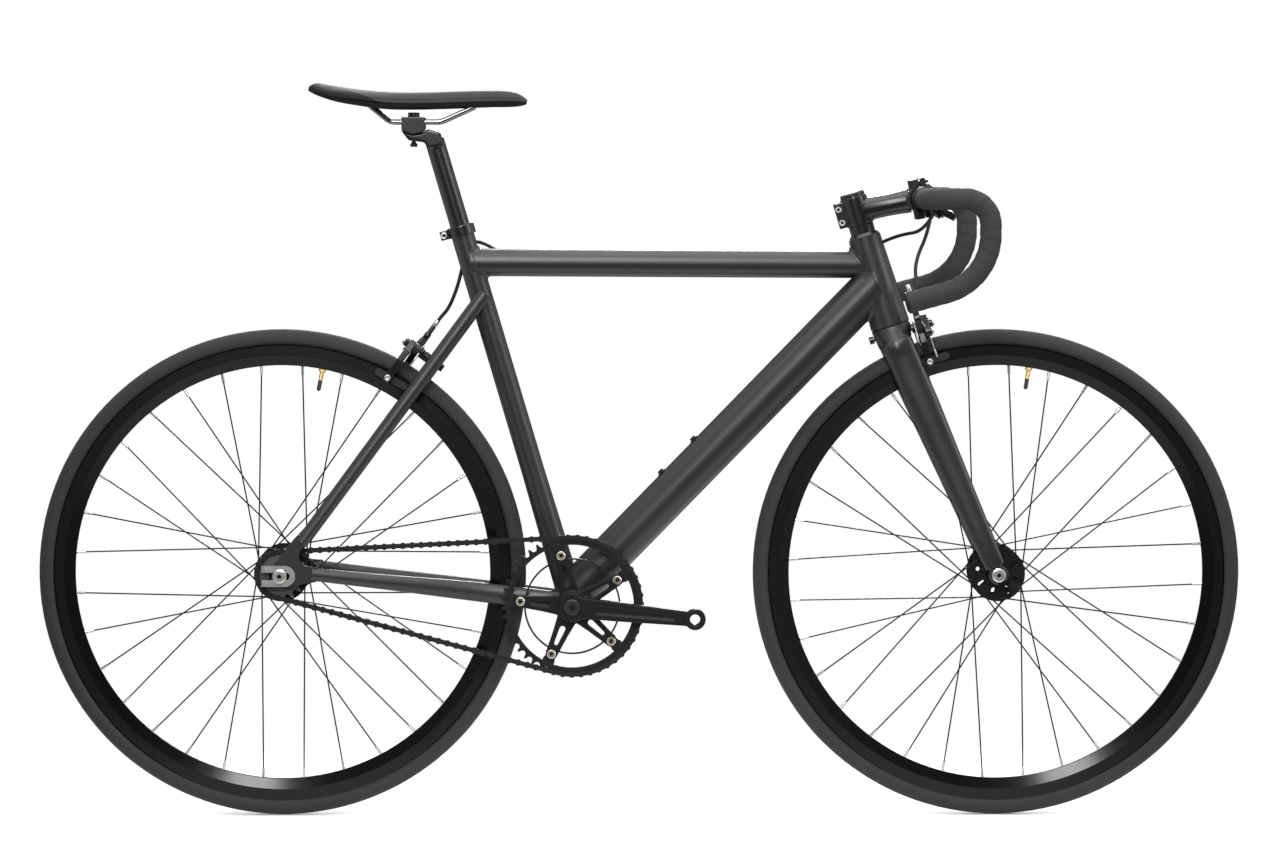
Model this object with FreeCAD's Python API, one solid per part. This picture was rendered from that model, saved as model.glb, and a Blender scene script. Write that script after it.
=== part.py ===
import FreeCAD, Part
import math
import os

# Sizes in millimetres and degrees. +X points forward, -Y to the drive side, +Z up.
# The origin is on the ground, midway between the two axles.
WHEELBASE = 990.8
TYRE_R = 338.0
TYRE_W = 28.0
BB_DROP = 43.6
SEAT_ANGLE = 73.5
HEAD_ANGLE = 73.6
CROWN_BACK = 147.8
CROWN_UP = 343.2
HEAD_LEN = 128.0
HEAD_R_TOP = 22.3
HEAD_R_LOW = 27.5
STEERER_R = 14.3
RUN = 0.05
TOP_TUBE_R = 19.1
TOP_TUBE_Z_REAR = 768.5
TOP_TUBE_Z_FRONT = 765.5
DOWN_TUBE_R = 29.0
DOWN_TUBE_LOW = 12.98
DOWN_TUBE_HIGH = 78.96
WALL = 2.0
SEAT_TUBE_R = 15.9
SEAT_TUBE_LEN = 546.0
STAY_JOIN = 438.664
POST_R = 13.6
POST_TOP = 672.0
POST_LOW = 330.0
SHELL_R = 22.0
SHELL_HALF = 34.0
REAR_HALF = 60.0
FRONT_HALF = 50.0
PLATE_T = 6.5
CHAIN_PITCH = 12.7
RING_TEETH = 47
COG_TEETH = 16
CHAINLINE = 42.0
TOOTH_T = 2.9
ROLLER_R = 3.85
BOLT_CIRCLE_R = 72.0
CRANK_LEN = 170.0
CRANK_ANGLE = -5.47
PEDAL_R = 7.14
SPOKES = 32
RIM_R = 317.0
RIM_BED_R = 288.0
RIM_HALF = 10.25
FLANGE_R = 38.0
SPOKE_HOLE_R = 33.5
SPOKE_R = 1.0
BAR_HALF = 210.0
BAR_R = 11.9
CLAMP_R = 15.9
TAPE_R = 15.0
PAD_GAP = 2.0
CABLE_R = 2.5
CAGE_SPACING = 64.0

V = FreeCAD.Vector
O = V(0, 0, 0)
X = V(1, 0, 0)
Y = V(0, 1, 0)
Z = V(0, 0, 1)
NODES = {}


def rad(a):
    return math.radians(a)


def node(name, *shapes):
    """Keeps the solids of one node, ready to be written."""
    solids = []
    for s in shapes:
        solids.extend(s.Solids)
    NODES[name] = solids


def place(shape, origin, z, x):
    """Moves a shape from the local frame to one with the given origin, z and x."""
    z = V(z).normalize()
    x = V(x) - z * V(x).dot(z)
    x.normalize()
    y = z.cross(x)
    m = FreeCAD.Matrix(x.x, y.x, z.x, origin.x, x.y, y.y, z.y, origin.y,
                       x.z, y.z, z.z, origin.z, 0, 0, 0, 1)
    return shape.transformed(m, True)


def cyl(p, q, r):
    d = q - p
    return Part.makeCylinder(r, d.Length, p, d)


def tube(p, q, ro, ri):
    d = (q - p).normalize()
    return cyl(p, q, ro).cut(cyl(p - d, q + d, ri))


def cone(p, q, r0, r1):
    d = q - p
    return Part.makeCone(r0, r1, d.Length, p, d)


def lathe(points):
    """Turns a closed (radius, height) outline round the local z axis."""
    ring = [V(r, 0, h) for r, h in points]
    face = Part.Face(Part.makePolygon(ring + ring[:1]))
    return face.revolve(O, Z, 360)


def ball(p, r):
    return Part.makeSphere(r, p)


def mirror(shape):
    return shape.mirror(O, Y)


def pair(shape):
    return [shape, mirror(shape)]


def fuse(first, *others):
    out = first
    for s in others:
        out = out.fuse(s)
    return out.removeSplitter()


def plate(points, depth, origin, z, x):
    """Extrudes a closed outline of points and arc triples along the frame's z."""
    edges = []
    n = len(points)
    for i in range(n):
        p = points[i]
        if len(p) == 4:
            continue
        q = points[(i + 1) % n]
        if len(q) == 4:
            far = points[(i + 2) % n]
            arc = Part.Arc(V(p[0], p[1], 0), V(q[0], q[1], 0), V(far[0], far[1], 0))
            edges.append(arc.toShape())
        else:
            edges.append(Part.makeLine(V(p[0], p[1], 0), V(q[0], q[1], 0)))
    face = Part.Face(Part.Wire(edges))
    return place(face.extrude(V(0, 0, depth)), origin, z, x)


def via(x, y):
    """Marks a point that an arc passes through."""
    return (x, y, 0, 0)


def ring_wire(center, u, v, a, b):
    """An ellipse with half axis a along u and b along v."""
    u = V(u).normalize()
    v = V(v).normalize()
    if abs(a - b) < 1e-6:
        return Part.Wire(Part.Circle(center, u.cross(v), a).toShape())
    if a > b:
        e = Part.Ellipse(center + u * a, center + v * b, center)
    else:
        e = Part.Ellipse(center + v * b, center - u * a, center)
    return Part.Wire(e.toShape())


def closed_spline(points):
    c = Part.BSplineCurve()
    c.interpolate(points, PeriodicFlag=True)
    return Part.Wire(c.toShape())


def loft(wires, ruled=False):
    return Part.makeLoft(wires, True, ruled)


def disc(p, d, r, ri):
    """A round face across d, with a round hole if ri is above zero."""
    face = Part.Face(Part.Wire(Part.Circle(p, d, r).toShape()))
    if ri > 0:
        face = face.cut(Part.Face(Part.Wire(Part.Circle(p, d, ri).toShape()))).Faces[0]
    return face


def bent(points, radii, r, ri=0.0):
    """A round rod, or a round tube, along straight lines that are joined by bends."""
    pieces = []
    start = points[0]
    for i in range(1, len(points)):
        corner = points[i]
        d = (corner - start).normalize()
        if i == len(points) - 1:
            pieces.append(disc(start, d, r, ri).extrude(corner - start))
            break
        e = (points[i + 1] - corner).normalize()
        turn = d.getAngle(e)
        back = radii[i - 1] * math.tan(turn / 2)
        stop = corner - d * back
        pieces.append(disc(start, d, r, ri).extrude(stop - start))
        axis = d.cross(e).normalize()
        center = stop + axis.cross(d) * radii[i - 1]
        pieces.append(disc(stop, d, r, ri).revolve(center, axis, math.degrees(turn)))
        start = corner + e * back
    return pieces[0].fuse(pieces[1:])


def soft_radii(points):
    """Bend radii that take up most of each line between two corners."""
    out = []
    for a, b, c in zip(points, points[1:], points[2:]):
        turn = (b - a).getAngle(c - b)
        out.append(0.46 * min((b - a).Length, (c - b).Length) / math.tan(turn / 2))
    return out


def socket_bolt(p, d, r_head, head, r_shank, shank):
    """A cap bolt: its head stands along d from p and its shank runs the other way."""
    d = V(d).normalize()
    h = cyl(p, p + d * head, r_head)
    h = h.cut(cyl(p + d * (head * 0.45), p + d * (head + 1), r_head * 0.5))
    return fuse(h, cyl(p + d * 0.1, p - d * shank, r_shank))


# Main points and directions.
AXLE_X = WHEELBASE / 2
REAR = V(-AXLE_X, 0, TYRE_R)
FRONT = V(AXLE_X, 0, TYRE_R)


def sprocket_radius(teeth):
    return CHAIN_PITCH / (2 * math.sin(math.pi / teeth))


RING_R = sprocket_radius(RING_TEETH)
COG_R = sprocket_radius(COG_TEETH)
RING_STEPS = 13
COG_STEPS = 3
RUN_LINKS = 32
ring_end = 360.0 / RING_TEETH * RING_STEPS
cog_end = 360.0 / COG_TEETH * COG_STEPS
rise = RING_R * math.sin(rad(ring_end)) - COG_R * math.sin(rad(cog_end))
reach = math.sqrt((RUN_LINKS * CHAIN_PITCH) ** 2 - rise ** 2)
CENTRES = reach - RING_R * math.cos(rad(ring_end)) - COG_R * math.cos(rad(cog_end))
BB = V(-AXLE_X + math.sqrt(CENTRES ** 2 - BB_DROP ** 2), 0, TYRE_R - BB_DROP)

SEAT_DIR = V(-math.cos(rad(SEAT_ANGLE)), 0, math.sin(rad(SEAT_ANGLE)))
SEAT_FWD = V(math.sin(rad(SEAT_ANGLE)), 0, math.cos(rad(SEAT_ANGLE)))
STEER = V(-math.cos(rad(HEAD_ANGLE)), 0, math.sin(rad(HEAD_ANGLE)))
AHEAD = V(math.sin(rad(HEAD_ANGLE)), 0, math.cos(rad(HEAD_ANGLE)))
CROWN = FRONT + V(-CROWN_BACK, 0, CROWN_UP)


def seat_at(t):
    return BB + SEAT_DIR * t


def head_at(t):
    return CROWN + STEER * t


# Frame tubes. Each later tube is cut to fit the ones before it.
HEAD_BORE = 17.0
UP_BEARING_R = 19.0
LOW_BEARING_R = 22.5
BEARING_H = 7.0
head_outline = [(HEAD_R_LOW, 0), (HEAD_R_TOP, HEAD_LEN), (UP_BEARING_R, HEAD_LEN),
                (UP_BEARING_R, HEAD_LEN - BEARING_H), (HEAD_BORE, HEAD_LEN - BEARING_H),
                (HEAD_BORE, BEARING_H), (LOW_BEARING_R, BEARING_H), (LOW_BEARING_R, 0)]
head_tube = place(lathe(head_outline), CROWN, STEER, AHEAD)
head_core = cone(CROWN - STEER * 5, head_at(HEAD_LEN + 5),
                 HEAD_R_LOW + 0.22, HEAD_R_TOP - 0.18)
shell = tube(BB - Y * SHELL_HALF, BB + Y * SHELL_HALF, SHELL_R, SHELL_R - 4)
shell_core = cyl(BB - Y * (SHELL_HALF + 1), BB + Y * (SHELL_HALF + 1), SHELL_R + 0.02)
seat_outline = [(18.0, 5), (17.6, 60), (SEAT_TUBE_R, 200), (SEAT_TUBE_R, SEAT_TUBE_LEN),
                (POST_R + RUN, SEAT_TUBE_LEN), (POST_R + RUN, 5)]
seat_tube = place(lathe(seat_outline), BB, SEAT_DIR, SEAT_FWD).cut(shell_core)
seat_core = place(lathe([(0, 0), (18.02, 0), (18.02, 5), (17.62, 60), (SEAT_TUBE_R + 0.02, 200),
                         (SEAT_TUBE_R + 0.02, 600), (0, 600)]), BB, SEAT_DIR, SEAT_FWD)
rear_top = seat_at((TOP_TUBE_Z_REAR - BB.z) / SEAT_DIR.z)
front_top = head_at((TOP_TUBE_Z_FRONT - CROWN.z) / STEER.z)
top_tube = tube(rear_top, front_top, TOP_TUBE_R, TOP_TUBE_R - WALL)
top_tube = max(top_tube.cut(head_core).cut(seat_core).Solids, key=lambda s: s.Volume)
down_low = BB + Z * DOWN_TUBE_LOW
down_high = CROWN + Z * DOWN_TUBE_HIGH
down_dir = (down_high - down_low).normalize()
down_mid = down_low + down_dir * 213.25
down_tube = tube(down_low - down_dir * 1.75, down_high - down_dir * 33.5,
                 DOWN_TUBE_R, DOWN_TUBE_R - WALL)
down_tube = down_tube.cut(head_core).cut(shell_core).cut(seat_core)
down_tube = down_tube.cut(cyl(rear_top, front_top, TOP_TUBE_R + 0.02))
down_tube = max(down_tube.Solids, key=lambda s: s.Volume)


def stay(points):
    """Lofts a stay through (centre, half height, half width) sections."""
    wires = []
    for i, (c, h, w) in enumerate(points):
        a = points[max(i - 1, 0)][0]
        b = points[min(i + 1, len(points) - 1)][0]
        t = (b - a).normalize()
        side = V(Y - t * Y.dot(t)).normalize()
        up = side.cross(t)
        wires.append(ring_wire(c, up, side, h, w))
    return loft(wires)


def chain_line(f, y):
    """A point of the right chainstay, from the shell at 0 to the track end at 1."""
    p, q = BB + V(-6.98, 0, 3.4), REAR + V(43.4, 0, 2.63)
    return p + (q - p) * f + Y * y


STAY_Y = REAR_HALF + PLATE_T / 2
chainstay = stay([(chain_line(0, -25.5), 13.5, 8.4), (chain_line(0.142, -25.5), 13.7, 8.2),
                  (chain_line(0.312, -26), 13.7, 8.2), (chain_line(0.483, -33.5), 12.6, 8.2),
                  (chain_line(0.71, -47.5), 10.6, 8.2), (chain_line(0.909, -58.5), 9.5, 7.6),
                  (chain_line(1, -STAY_Y), 9.0, 6.6)])
chainstay = chainstay.cut(shell_core).cut(seat_core)
chainstay = chainstay.cut(cyl(down_low - down_dir * 47, down_mid, DOWN_TUBE_R + 0.02))
chainstay = max(chainstay.Solids, key=lambda s: s.Volume)
stay_low = REAR + V(29.4, -STAY_Y, 45.0)
stay_high = seat_at(STAY_JOIN) + V(-3.397, -17.0, 0)


def stay_at(f):
    return stay_low + (stay_high - stay_low) * f


seatstay = stay([(stay_at(0), 9.0, 6.6), (stay_at(0.3), 9.6, 7.2), (stay_at(0.7), 10.0, 7.6),
                 (stay_at(1.03), 10.0, 8.0)])
seatstay = max(seatstay.cut(seat_core).Solids, key=lambda s: s.Volume)
BRIDGE_F = 0.742
bridge_mid = V(stay_at(BRIDGE_F).x, 0, stay_at(BRIDGE_F).z)
REAR_W = V(-0.81, 0, 0.588).normalize()
REAR_V = V(-0.588, 0, -0.81).normalize()
bridge = cyl(bridge_mid - Y * 30, bridge_mid + Y * 30, 8.0)
bridge = bridge.cut(cyl(bridge_mid - REAR_W * 20, bridge_mid + REAR_W * 20, 3.1))
seatstays = fuse(seatstay, bridge, mirror(seatstay))

# Rear track ends: a plate with a slot that opens to the rear, and a steel facing.
SLOT_H = 5.1
end_outline = [(-26, 14.8), (-26, SLOT_H), (9, SLOT_H), via(9 + SLOT_H, 0), (9, -SLOT_H),
               (-26, -SLOT_H), (-26, -14.8), (8, -14.8), (50, -8), (52, 12), (39, 13),
               via(27, 24), (33, 40), (40, 50), (26, 57), (10, 40), (-8, 14.8)]


def side_plate(points, y0, depth):
    """A plate whose outline is in (x, z) about the rear axle, from y0 towards -Y."""
    return plate(points, depth, REAR + V(0, y0, 0), V(0, -1, 0), X)


track_end = side_plate(end_outline, -REAR_HALF, PLATE_T)
facing_outline = [(-25, 14.4), (-25, SLOT_H), (9, SLOT_H), via(9 + SLOT_H, 0), (9, -SLOT_H),
                  (-25, -SLOT_H), (-25, -14.4), (7, -14.4), via(21.4, 0), (7, 14.4)]
facing = side_plate(facing_outline, -REAR_HALF - PLATE_T, 1.6)
for dz in (-9.7, 9.7):
    p = REAR + V(-20.5, -REAR_HALF - PLATE_T - 1.6, dz)
    facing = facing.fuse(cyl(p + Y * 0.5, p - Y * 1.2, 2.2))
chainstay = chainstay.cut(track_end)
seatstays = seatstays.cut(fuse(track_end)).cut(mirror(track_end))
chainstay = max(chainstay.Solids, key=lambda s: s.Volume)
seatstays = max(seatstays.Solids, key=lambda s: s.Volume)
node("head_tube", head_tube)
node("top_tube", top_tube)
node("down_tube", down_tube)
node("seat_tube", seat_tube)
node("bottom_bracket_shell", shell)
node("chainstays", *pair(chainstay))
node("seatstays", seatstays)
node("track_dropouts", *pair(track_end))
node("dropout_plates", *pair(facing))

# Headset, bottom bracket and seat collar.
up_bearing = lathe([(STEERER_R + RUN, 0), (UP_BEARING_R - 0.02, 0), (UP_BEARING_R - 0.02, 6.8),
                    (STEERER_R + RUN, 6.8)])
low_bearing = lathe([(STEERER_R + RUN, 0), (LOW_BEARING_R - 0.02, 0), (LOW_BEARING_R - 0.02, 6.8),
                     (STEERER_R + RUN, 6.8)])
node("headset_bearings", place(up_bearing, head_at(HEAD_LEN - 6.9), STEER, AHEAD),
     place(low_bearing, head_at(0.1), STEER, AHEAD))
SPINDLE_R = 8.5
cup = lathe([(SPINDLE_R + RUN, 22), (SHELL_R - 4.02, 22), (SHELL_R - 4.02, SHELL_HALF),
             (SHELL_R - 0.5, SHELL_HALF), (SHELL_R - 0.5, SHELL_HALF + 2.5),
             (SPINDLE_R + RUN, SHELL_HALF + 2.5)])
node("bottom_bracket_cups", place(cup, BB, Y, X), place(cup, BB, -Y, X))
COLLAR_T = SEAT_TUBE_LEN - 13
collar = lathe([(SEAT_TUBE_R + 0.03, 0), (SEAT_TUBE_R + 3.2, 0), (SEAT_TUBE_R + 3.2, 13.0),
                (SEAT_TUBE_R + 2.4, 14.6), (POST_R + 0.3, 14.6), (POST_R + 0.3, 13.05),
                (SEAT_TUBE_R + 0.03, 13.05)])
lug = Part.makeBox(14, 13, 12.6, V(-30, -6.5, 0.9))
lug = lug.cut(cyl(O, V(0, 0, 20), SEAT_TUBE_R + 1.5))
collar = fuse(collar, lug).cut(Part.makeBox(20, 1.6, 30, V(-34, -0.8, -5)))
collar = place(collar, seat_at(COLLAR_T), SEAT_DIR, SEAT_FWD)
collar_at = seat_at(COLLAR_T + 7.2) - SEAT_FWD * 25
collar = collar.cut(cyl(collar_at - Y * 9, collar_at + Y * 9, 2.6))
collar_bolt = socket_bolt(collar_at - Y * 6.55, -Y, 4.2, 3.6, 2.5, 15)
node("seat_collar", collar, collar_bolt)

# Seatpost with a set-back head, and the saddle on its rails.
post = place(lathe([(POST_R, POST_LOW), (POST_R, POST_TOP), (POST_R - 2.4, POST_TOP),
                    (POST_R - 2.4, POST_LOW)]), BB, SEAT_DIR, SEAT_FWD)
RAIL_R = 3.5
RAIL_Y = 22.0
HEAD_W = 30.0
# The saddle and its clamp are drawn about this place of the post's top, then moved with the post.
SADDLE_FROM = V(-283.875, 0, 938.727)


def with_post(shape):
    out = shape.copy()
    out.translate(saddle_move)
    return out


post_outline = [(-271, 930), (-275, 948), (-291, 953), via(-312, 946.0), (-331, 953), (-319, 937),
                (-297, 934), (-293, 926)]
head_block = plate(post_outline, HEAD_W, V(0, HEAD_W / 2, 0), -Y, X)
saddle_move = seat_at(POST_TOP) - SADDLE_FROM
cradle_cut = cyl(V(-312, -30, 972), V(-312, 30, 972), 26.0)
head_block = head_block.cut(cradle_cut)
post_solid = fuse(post, with_post(head_block))
bolt_line = cyl(V(-312, 0, 925), V(-312, 0, 990), 3.4)
post_solid = max(post_solid.cut(with_post(bolt_line)).Solids, key=lambda s: s.Volume)
lower_cradle = Part.makeBox(32, 54, 20, V(-328, -27, 942)).common(
    cyl(V(-312, -30, 972), V(-312, 30, 972), 25.95))
upper_cradle = Part.makeBox(32, 54, 6.6, V(-328, -27, 962.4))
for sy in (-1, 1):
    groove = cyl(V(-340, sy * RAIL_Y, 962.2), V(-280, sy * RAIL_Y, 962.2), RAIL_R + 0.03)
    lower_cradle = lower_cradle.cut(groove)
    upper_cradle = upper_cradle.cut(groove)
lower_cradle = lower_cradle.cut(bolt_line)
upper_cradle = upper_cradle.cut(bolt_line)
clamp_bolt = fuse(cyl(V(-312, 0, 928), V(-312, 0, 975), 3.0),
                  cyl(V(-312, 0, 928), V(-312, 0, 932.8), 5.0),
                  cyl(V(-312, 0, 969.1), V(-312, 0, 975.5), 8.0))
node("seatpost", post_solid)
node("saddle_clamp", with_post(lower_cradle), with_post(upper_cradle), with_post(clamp_bolt))
rail = bent([V(-228, -13, 983.0), V(-274, -RAIL_Y, 962.2), V(-344, -RAIL_Y, 962.2),
             V(-371, -28, 984.0)], [26.0, 14.0], RAIL_R)
SADDLE = [(-455, 46, 1010.5, 1005.5), (-449, 60, 1013.5, 1001.5), (-425, 70, 1011.0, 992.0),
          (-395, 68, 1007.0, 986.0), (-360, 54, 1004.0, 981.0), (-325, 38, 1003.0, 979.5),
          (-285, 28, 1003.4, 980.0), (-240, 22.5, 1005.0, 981.5), (-195, 19.5, 1005.5, 983.0),
          (-168, 17.0, 1003.5, 984.0), (-156, 11.5, 998.5, 987.0)]


def saddle_section(x, half, top, low):
    """One closed saddle section: a crowned top and sides that draw in below."""
    h = top - low
    pts = [(0, top), (0.45, top - 0.03 * h), (0.8, top - 0.2 * h), (0.98, top - 0.52 * h),
           (0.95, low + 0.14 * h), (0.78, low + 0.02 * h), (0.4, low), (0, low)]
    ring = [V(x, half * y, z) for y, z in pts]
    ring += [V(x, -half * y, z) for y, z in reversed(pts[1:-1])]
    return closed_spline(ring)


saddle = loft([saddle_section(*s) for s in SADDLE])
SEAM = 0.3
seam = [(x, low + SEAM * (top - low)) for x, w, top, low in SADDLE]
seam = [(seam[0][0] - 20, seam[0][1])] + seam + [(seam[-1][0] + 20, seam[-1][1])]
above = plate(seam + [(-100, 1100), (-500, 1100)], 200, V(0, 100, 0), -Y, X)
below = plate([(x, z - 0.1) for x, z in seam] + [(-100, 900), (-500, 900)], 200, V(0, 100, 0), -Y, X)
rails = pair(rail)
pad = saddle.common(above).cut(rails[0]).cut(rails[1])
pad = max(pad.Solids, key=lambda s: s.Volume)
under = saddle.common(below).cut(rails[0]).cut(rails[1])
under = max(under.Solids, key=lambda s: s.Volume)
node("saddle_rails", *[with_post(r) for r in rails])
node("saddle_shell", with_post(under))
node("saddle_pad", with_post(pad))

# Fork: steerer, crown and two flattened blades that end in axle tabs.
STEERER_TOP = 187.0
CROWN_GAP = 0.5
FORK_TAB_R = 13.6
crown = loft([ring_wire(head_at(-CROWN_GAP), AHEAD, Y, HEAD_R_LOW - 0.6, HEAD_R_LOW - 0.6),
              ring_wire(head_at(-9), AHEAD, Y, 27.0, 31.0),
              ring_wire(head_at(-20), AHEAD, Y, 25.0, 38.0),
              ring_wire(head_at(-38), AHEAD, Y, 23.5, 41.0)])


def fork_at(f, y):
    top = head_at(-22)
    p = top + (FRONT - top) * f
    return V(p.x, y, p.z)


fork_line = (FRONT - head_at(-22)).normalize()
fork_fwd = V(-fork_line.z, 0, fork_line.x)
blade = loft([ring_wire(fork_at(f, y), fork_fwd, Y, a, b) for f, y, a, b in (
    (0.0, -30.5, 23.5, 9.8), (0.15, -32.0, 23.0, 9.8), (0.4, -38.0, 20.5, 8.8),
    (0.7, -46.5, 17.2, 7.4), (0.9, -52.4, 15.0, 5.6), (0.965, -53.5, 14.0, 3.6))])
tab = cyl(FRONT - Y * FRONT_HALF, FRONT - Y * (FRONT_HALF + PLATE_T), FORK_TAB_R)
blade = fuse(blade, tab)
slot = Part.makeBox(10.0, 40, 40, V(-5.0, -20, -40))
slot = place(slot, FRONT - Y * 53, -fork_line, fork_fwd)
slot = slot.fuse(cyl(FRONT - Y * 75, FRONT - Y * 30, 5.0))
blade = blade.cut(slot).cut(cyl(FRONT - Y * 20, FRONT - Y * FRONT_HALF, 16.5))
blade = blade.cut(cyl(FRONT - Y * (FRONT_HALF + PLATE_T), FRONT - Y * 80, 15.0))
blade = max(blade.Solids, key=lambda s: s.Volume)
wheel_room = cyl(FRONT - Y * 19, FRONT + Y * 19, TYRE_R + 7)
crown = crown.cut(wheel_room)
brake_hole = head_at(-13)
steerer = cyl(head_at(-8), head_at(STEERER_TOP), STEERER_R)
fork = fuse(crown, blade, mirror(blade), steerer)
fork = fork.cut(cyl(head_at(-1), head_at(STEERER_TOP + 1), STEERER_R - 2.4))
fork = fork.cut(cyl(brake_hole - AHEAD * 60, brake_hole + AHEAD * 60, 3.1))
fork = max(fork.Solids, key=lambda s: s.Volume)
node("fork", fork)
STEM_LOW = 145.0
STEM_HIGH = 185.0
STEM_REACH = 89.486
STEM_RISE = 17.713
cover = lathe([(STEERER_R + 0.03, 0), (21.6, 0), (18.0, 4.4), (STEERER_R + 0.03, 4.4)])
spacer = lathe([(STEERER_R + 0.03, 0), (17.2, 0), (17.2, 5.9), (STEERER_R + 0.03, 5.9)])
cap = lathe([(0, 0), (17.2, 0), (17.2, 2.0), (14.5, 4.2), (4.0, 4.2), (4.0, 2.4), (0, 2.4)])
node("headset_stack", place(cover, head_at(HEAD_LEN + 0.4), STEER, AHEAD),
     place(spacer, head_at(HEAD_LEN + 4.9), STEER, AHEAD),
     place(spacer, head_at(HEAD_LEN + 10.9), STEER, AHEAD),
     place(cap, head_at(STEERER_TOP + 0.1), STEER, AHEAD))

# Stem, bar clamp and handlebar.
stem_foot = head_at(165)
BAR = stem_foot + V(STEM_REACH, 0, STEM_RISE)
stem_dir = (BAR - stem_foot).normalize()
stem_up = V(-stem_dir.z, 0, stem_dir.x)
quill = cyl(head_at(STEM_LOW), head_at(STEM_HIGH), 18.6)
ears = Part.makeBox(16, 22, 36, V(-29, -11, 2))
quill = fuse(quill, place(ears, head_at(STEM_LOW), STEER, AHEAD))
arm = loft([ring_wire(stem_foot + stem_dir * 6, stem_up, Y, 17.5, 17.5),
            ring_wire(stem_foot + stem_dir * 45, stem_up, Y, 15.5, 16.0),
            ring_wire(BAR - stem_dir * 17, stem_up, Y, 17.0, 18.5)])
CLAMP_HALF = 21.0
jaw = cyl(BAR - Y * CLAMP_HALF, BAR + Y * CLAMP_HALF, 20.2)
flanges = place(Part.makeBox(15, 2 * CLAMP_HALF, 56, V(-13.5, -CLAMP_HALF, -28)), BAR,
                stem_up, stem_dir)
jaw = fuse(jaw, flanges)
ahead_room = place(Part.makeBox(80, 80, 80, V(-1.0, -40, -40)), BAR, stem_up, stem_dir)
stem = fuse(arm, jaw.cut(ahead_room), quill)
stem = stem.cut(cyl(BAR - Y * 30, BAR + Y * 30, CLAMP_R + 0.03))
stem = stem.cut(cyl(head_at(100), head_at(230), STEERER_R + 0.03))
ear_slot = Part.makeBox(30, 2.0, 60, V(-34, -1.0, -10))
stem = stem.cut(place(ear_slot, head_at(STEM_LOW), STEER, AHEAD))
face_jaw = cyl(BAR - Y * CLAMP_HALF, BAR + Y * CLAMP_HALF, 20.2)
face_lugs = place(Part.makeBox(8, 2 * CLAMP_HALF, 56, V(0.6, -CLAMP_HALF, -28)), BAR,
                  stem_up, stem_dir)
behind = place(Part.makeBox(80, 80, 80, V(-79.4, -40, -40)), BAR, stem_up, stem_dir)
face = fuse(face_jaw, face_lugs).cut(behind).cut(cyl(BAR - Y * 30, BAR + Y * 30, CLAMP_R + 0.03))
window = place(Part.makeBox(40, 18, 20, V(5, -9, -10)), BAR, stem_up, stem_dir)
face = face.cut(window)
bolts = []
for sy in (-1, 1):
    for sz in (-1, 1):
        p = BAR + stem_up * (sz * 24.0) + Y * (sy * 13.5) + stem_dir * 8.65
        line = cyl(p + stem_dir * 3, p - stem_dir * 24, 2.6)
        face = face.cut(line)
        stem = stem.cut(line)
        bolts.append(socket_bolt(p, stem_dir, 4.2, 4.0, 2.5, 21))
for t in (STEM_LOW + 10, STEM_LOW + 29):
    p = head_at(t) - AHEAD * 24.5 - Y * 11.05
    stem = stem.cut(cyl(p - Y * 3, p + Y * 25, 2.6))
    bolts.append(socket_bolt(p, -Y, 4.2, 4.0, 2.5, 21))
stem = max(stem.Solids, key=lambda s: s.Volume)
face = max(face.Solids, key=lambda s: s.Volume)
node("stem", stem)
node("stem_faceplate", face)
node("stem_bolts", *bolts)
BAR_REACH = 79.3
BAR_DROP = 139.0
BAR_BENDS = [42.0, 34.3, 80.0]
GRIP_X = -30.0
GRIP_SLOPE = 15.2
BAR_WALL = 2.0
BULGE_END = 51.0
TAPE_FROM = 72.0
bar_in = BAR_R - BAR_WALL
end_dir = V(-math.cos(rad(GRIP_SLOPE)), 0, -math.sin(rad(GRIP_SLOPE)))
bar_end = BAR + V(GRIP_X, -BAR_HALF, -BAR_DROP)
hook_low = bar_end - end_dir * ((BAR_REACH - GRIP_X) / math.cos(rad(GRIP_SLOPE)))


def drop_from(y, r, ri):
    """One side of the bar from the given distance off the centre plane."""
    points = [BAR - Y * y, BAR - Y * BAR_HALF, BAR + V(BAR_REACH, -BAR_HALF, 0), hook_low, bar_end]
    return bent(points, BAR_BENDS, r, ri)


half_bar = drop_from(BULGE_END, BAR_R, bar_in)
top_bar = place(lathe([(bar_in, -BULGE_END), (BAR_R, -BULGE_END), (CLAMP_R, -34), (CLAMP_R, 34),
                       (BAR_R, BULGE_END), (bar_in, BULGE_END)]), BAR, Y, X)
handlebar = top_bar.fuse([half_bar, mirror(half_bar)])
node("handlebar", handlebar)
node("bar_tape", *pair(drop_from(TAPE_FROM, TAPE_R, BAR_R + 0.05)))
plug = place(lathe([(0, -12), (bar_in - 0.05, -12), (bar_in - 0.05, 0.05), (14.6, 0.05), (14.6, 2.2),
                    (11.0, 4.6), (0, 5.2)]), bar_end, end_dir, Y)
node("bar_end_plugs", *pair(plug))

# Wheels. Angles run from the top towards the front.
NIPPLE_R = 2.0
NIPPLE_LEN = 12.0
FLANGE_T = 3.0
AXLE_R = 4.9


def at(center, r, angle, y):
    return center + V(r * math.sin(rad(angle)), y, r * math.cos(rad(angle)))


def turned(outline, center):
    """Turns a (radius, y) outline round a wheel's axle."""
    return place(lathe(outline), center, Y, X)


def ring_of(wires, center):
    """Turns one closed (radius, y) wire round a wheel's axle."""
    return place(Part.Face(wires).revolve(O, Z, 360), center, Y, X)


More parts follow.
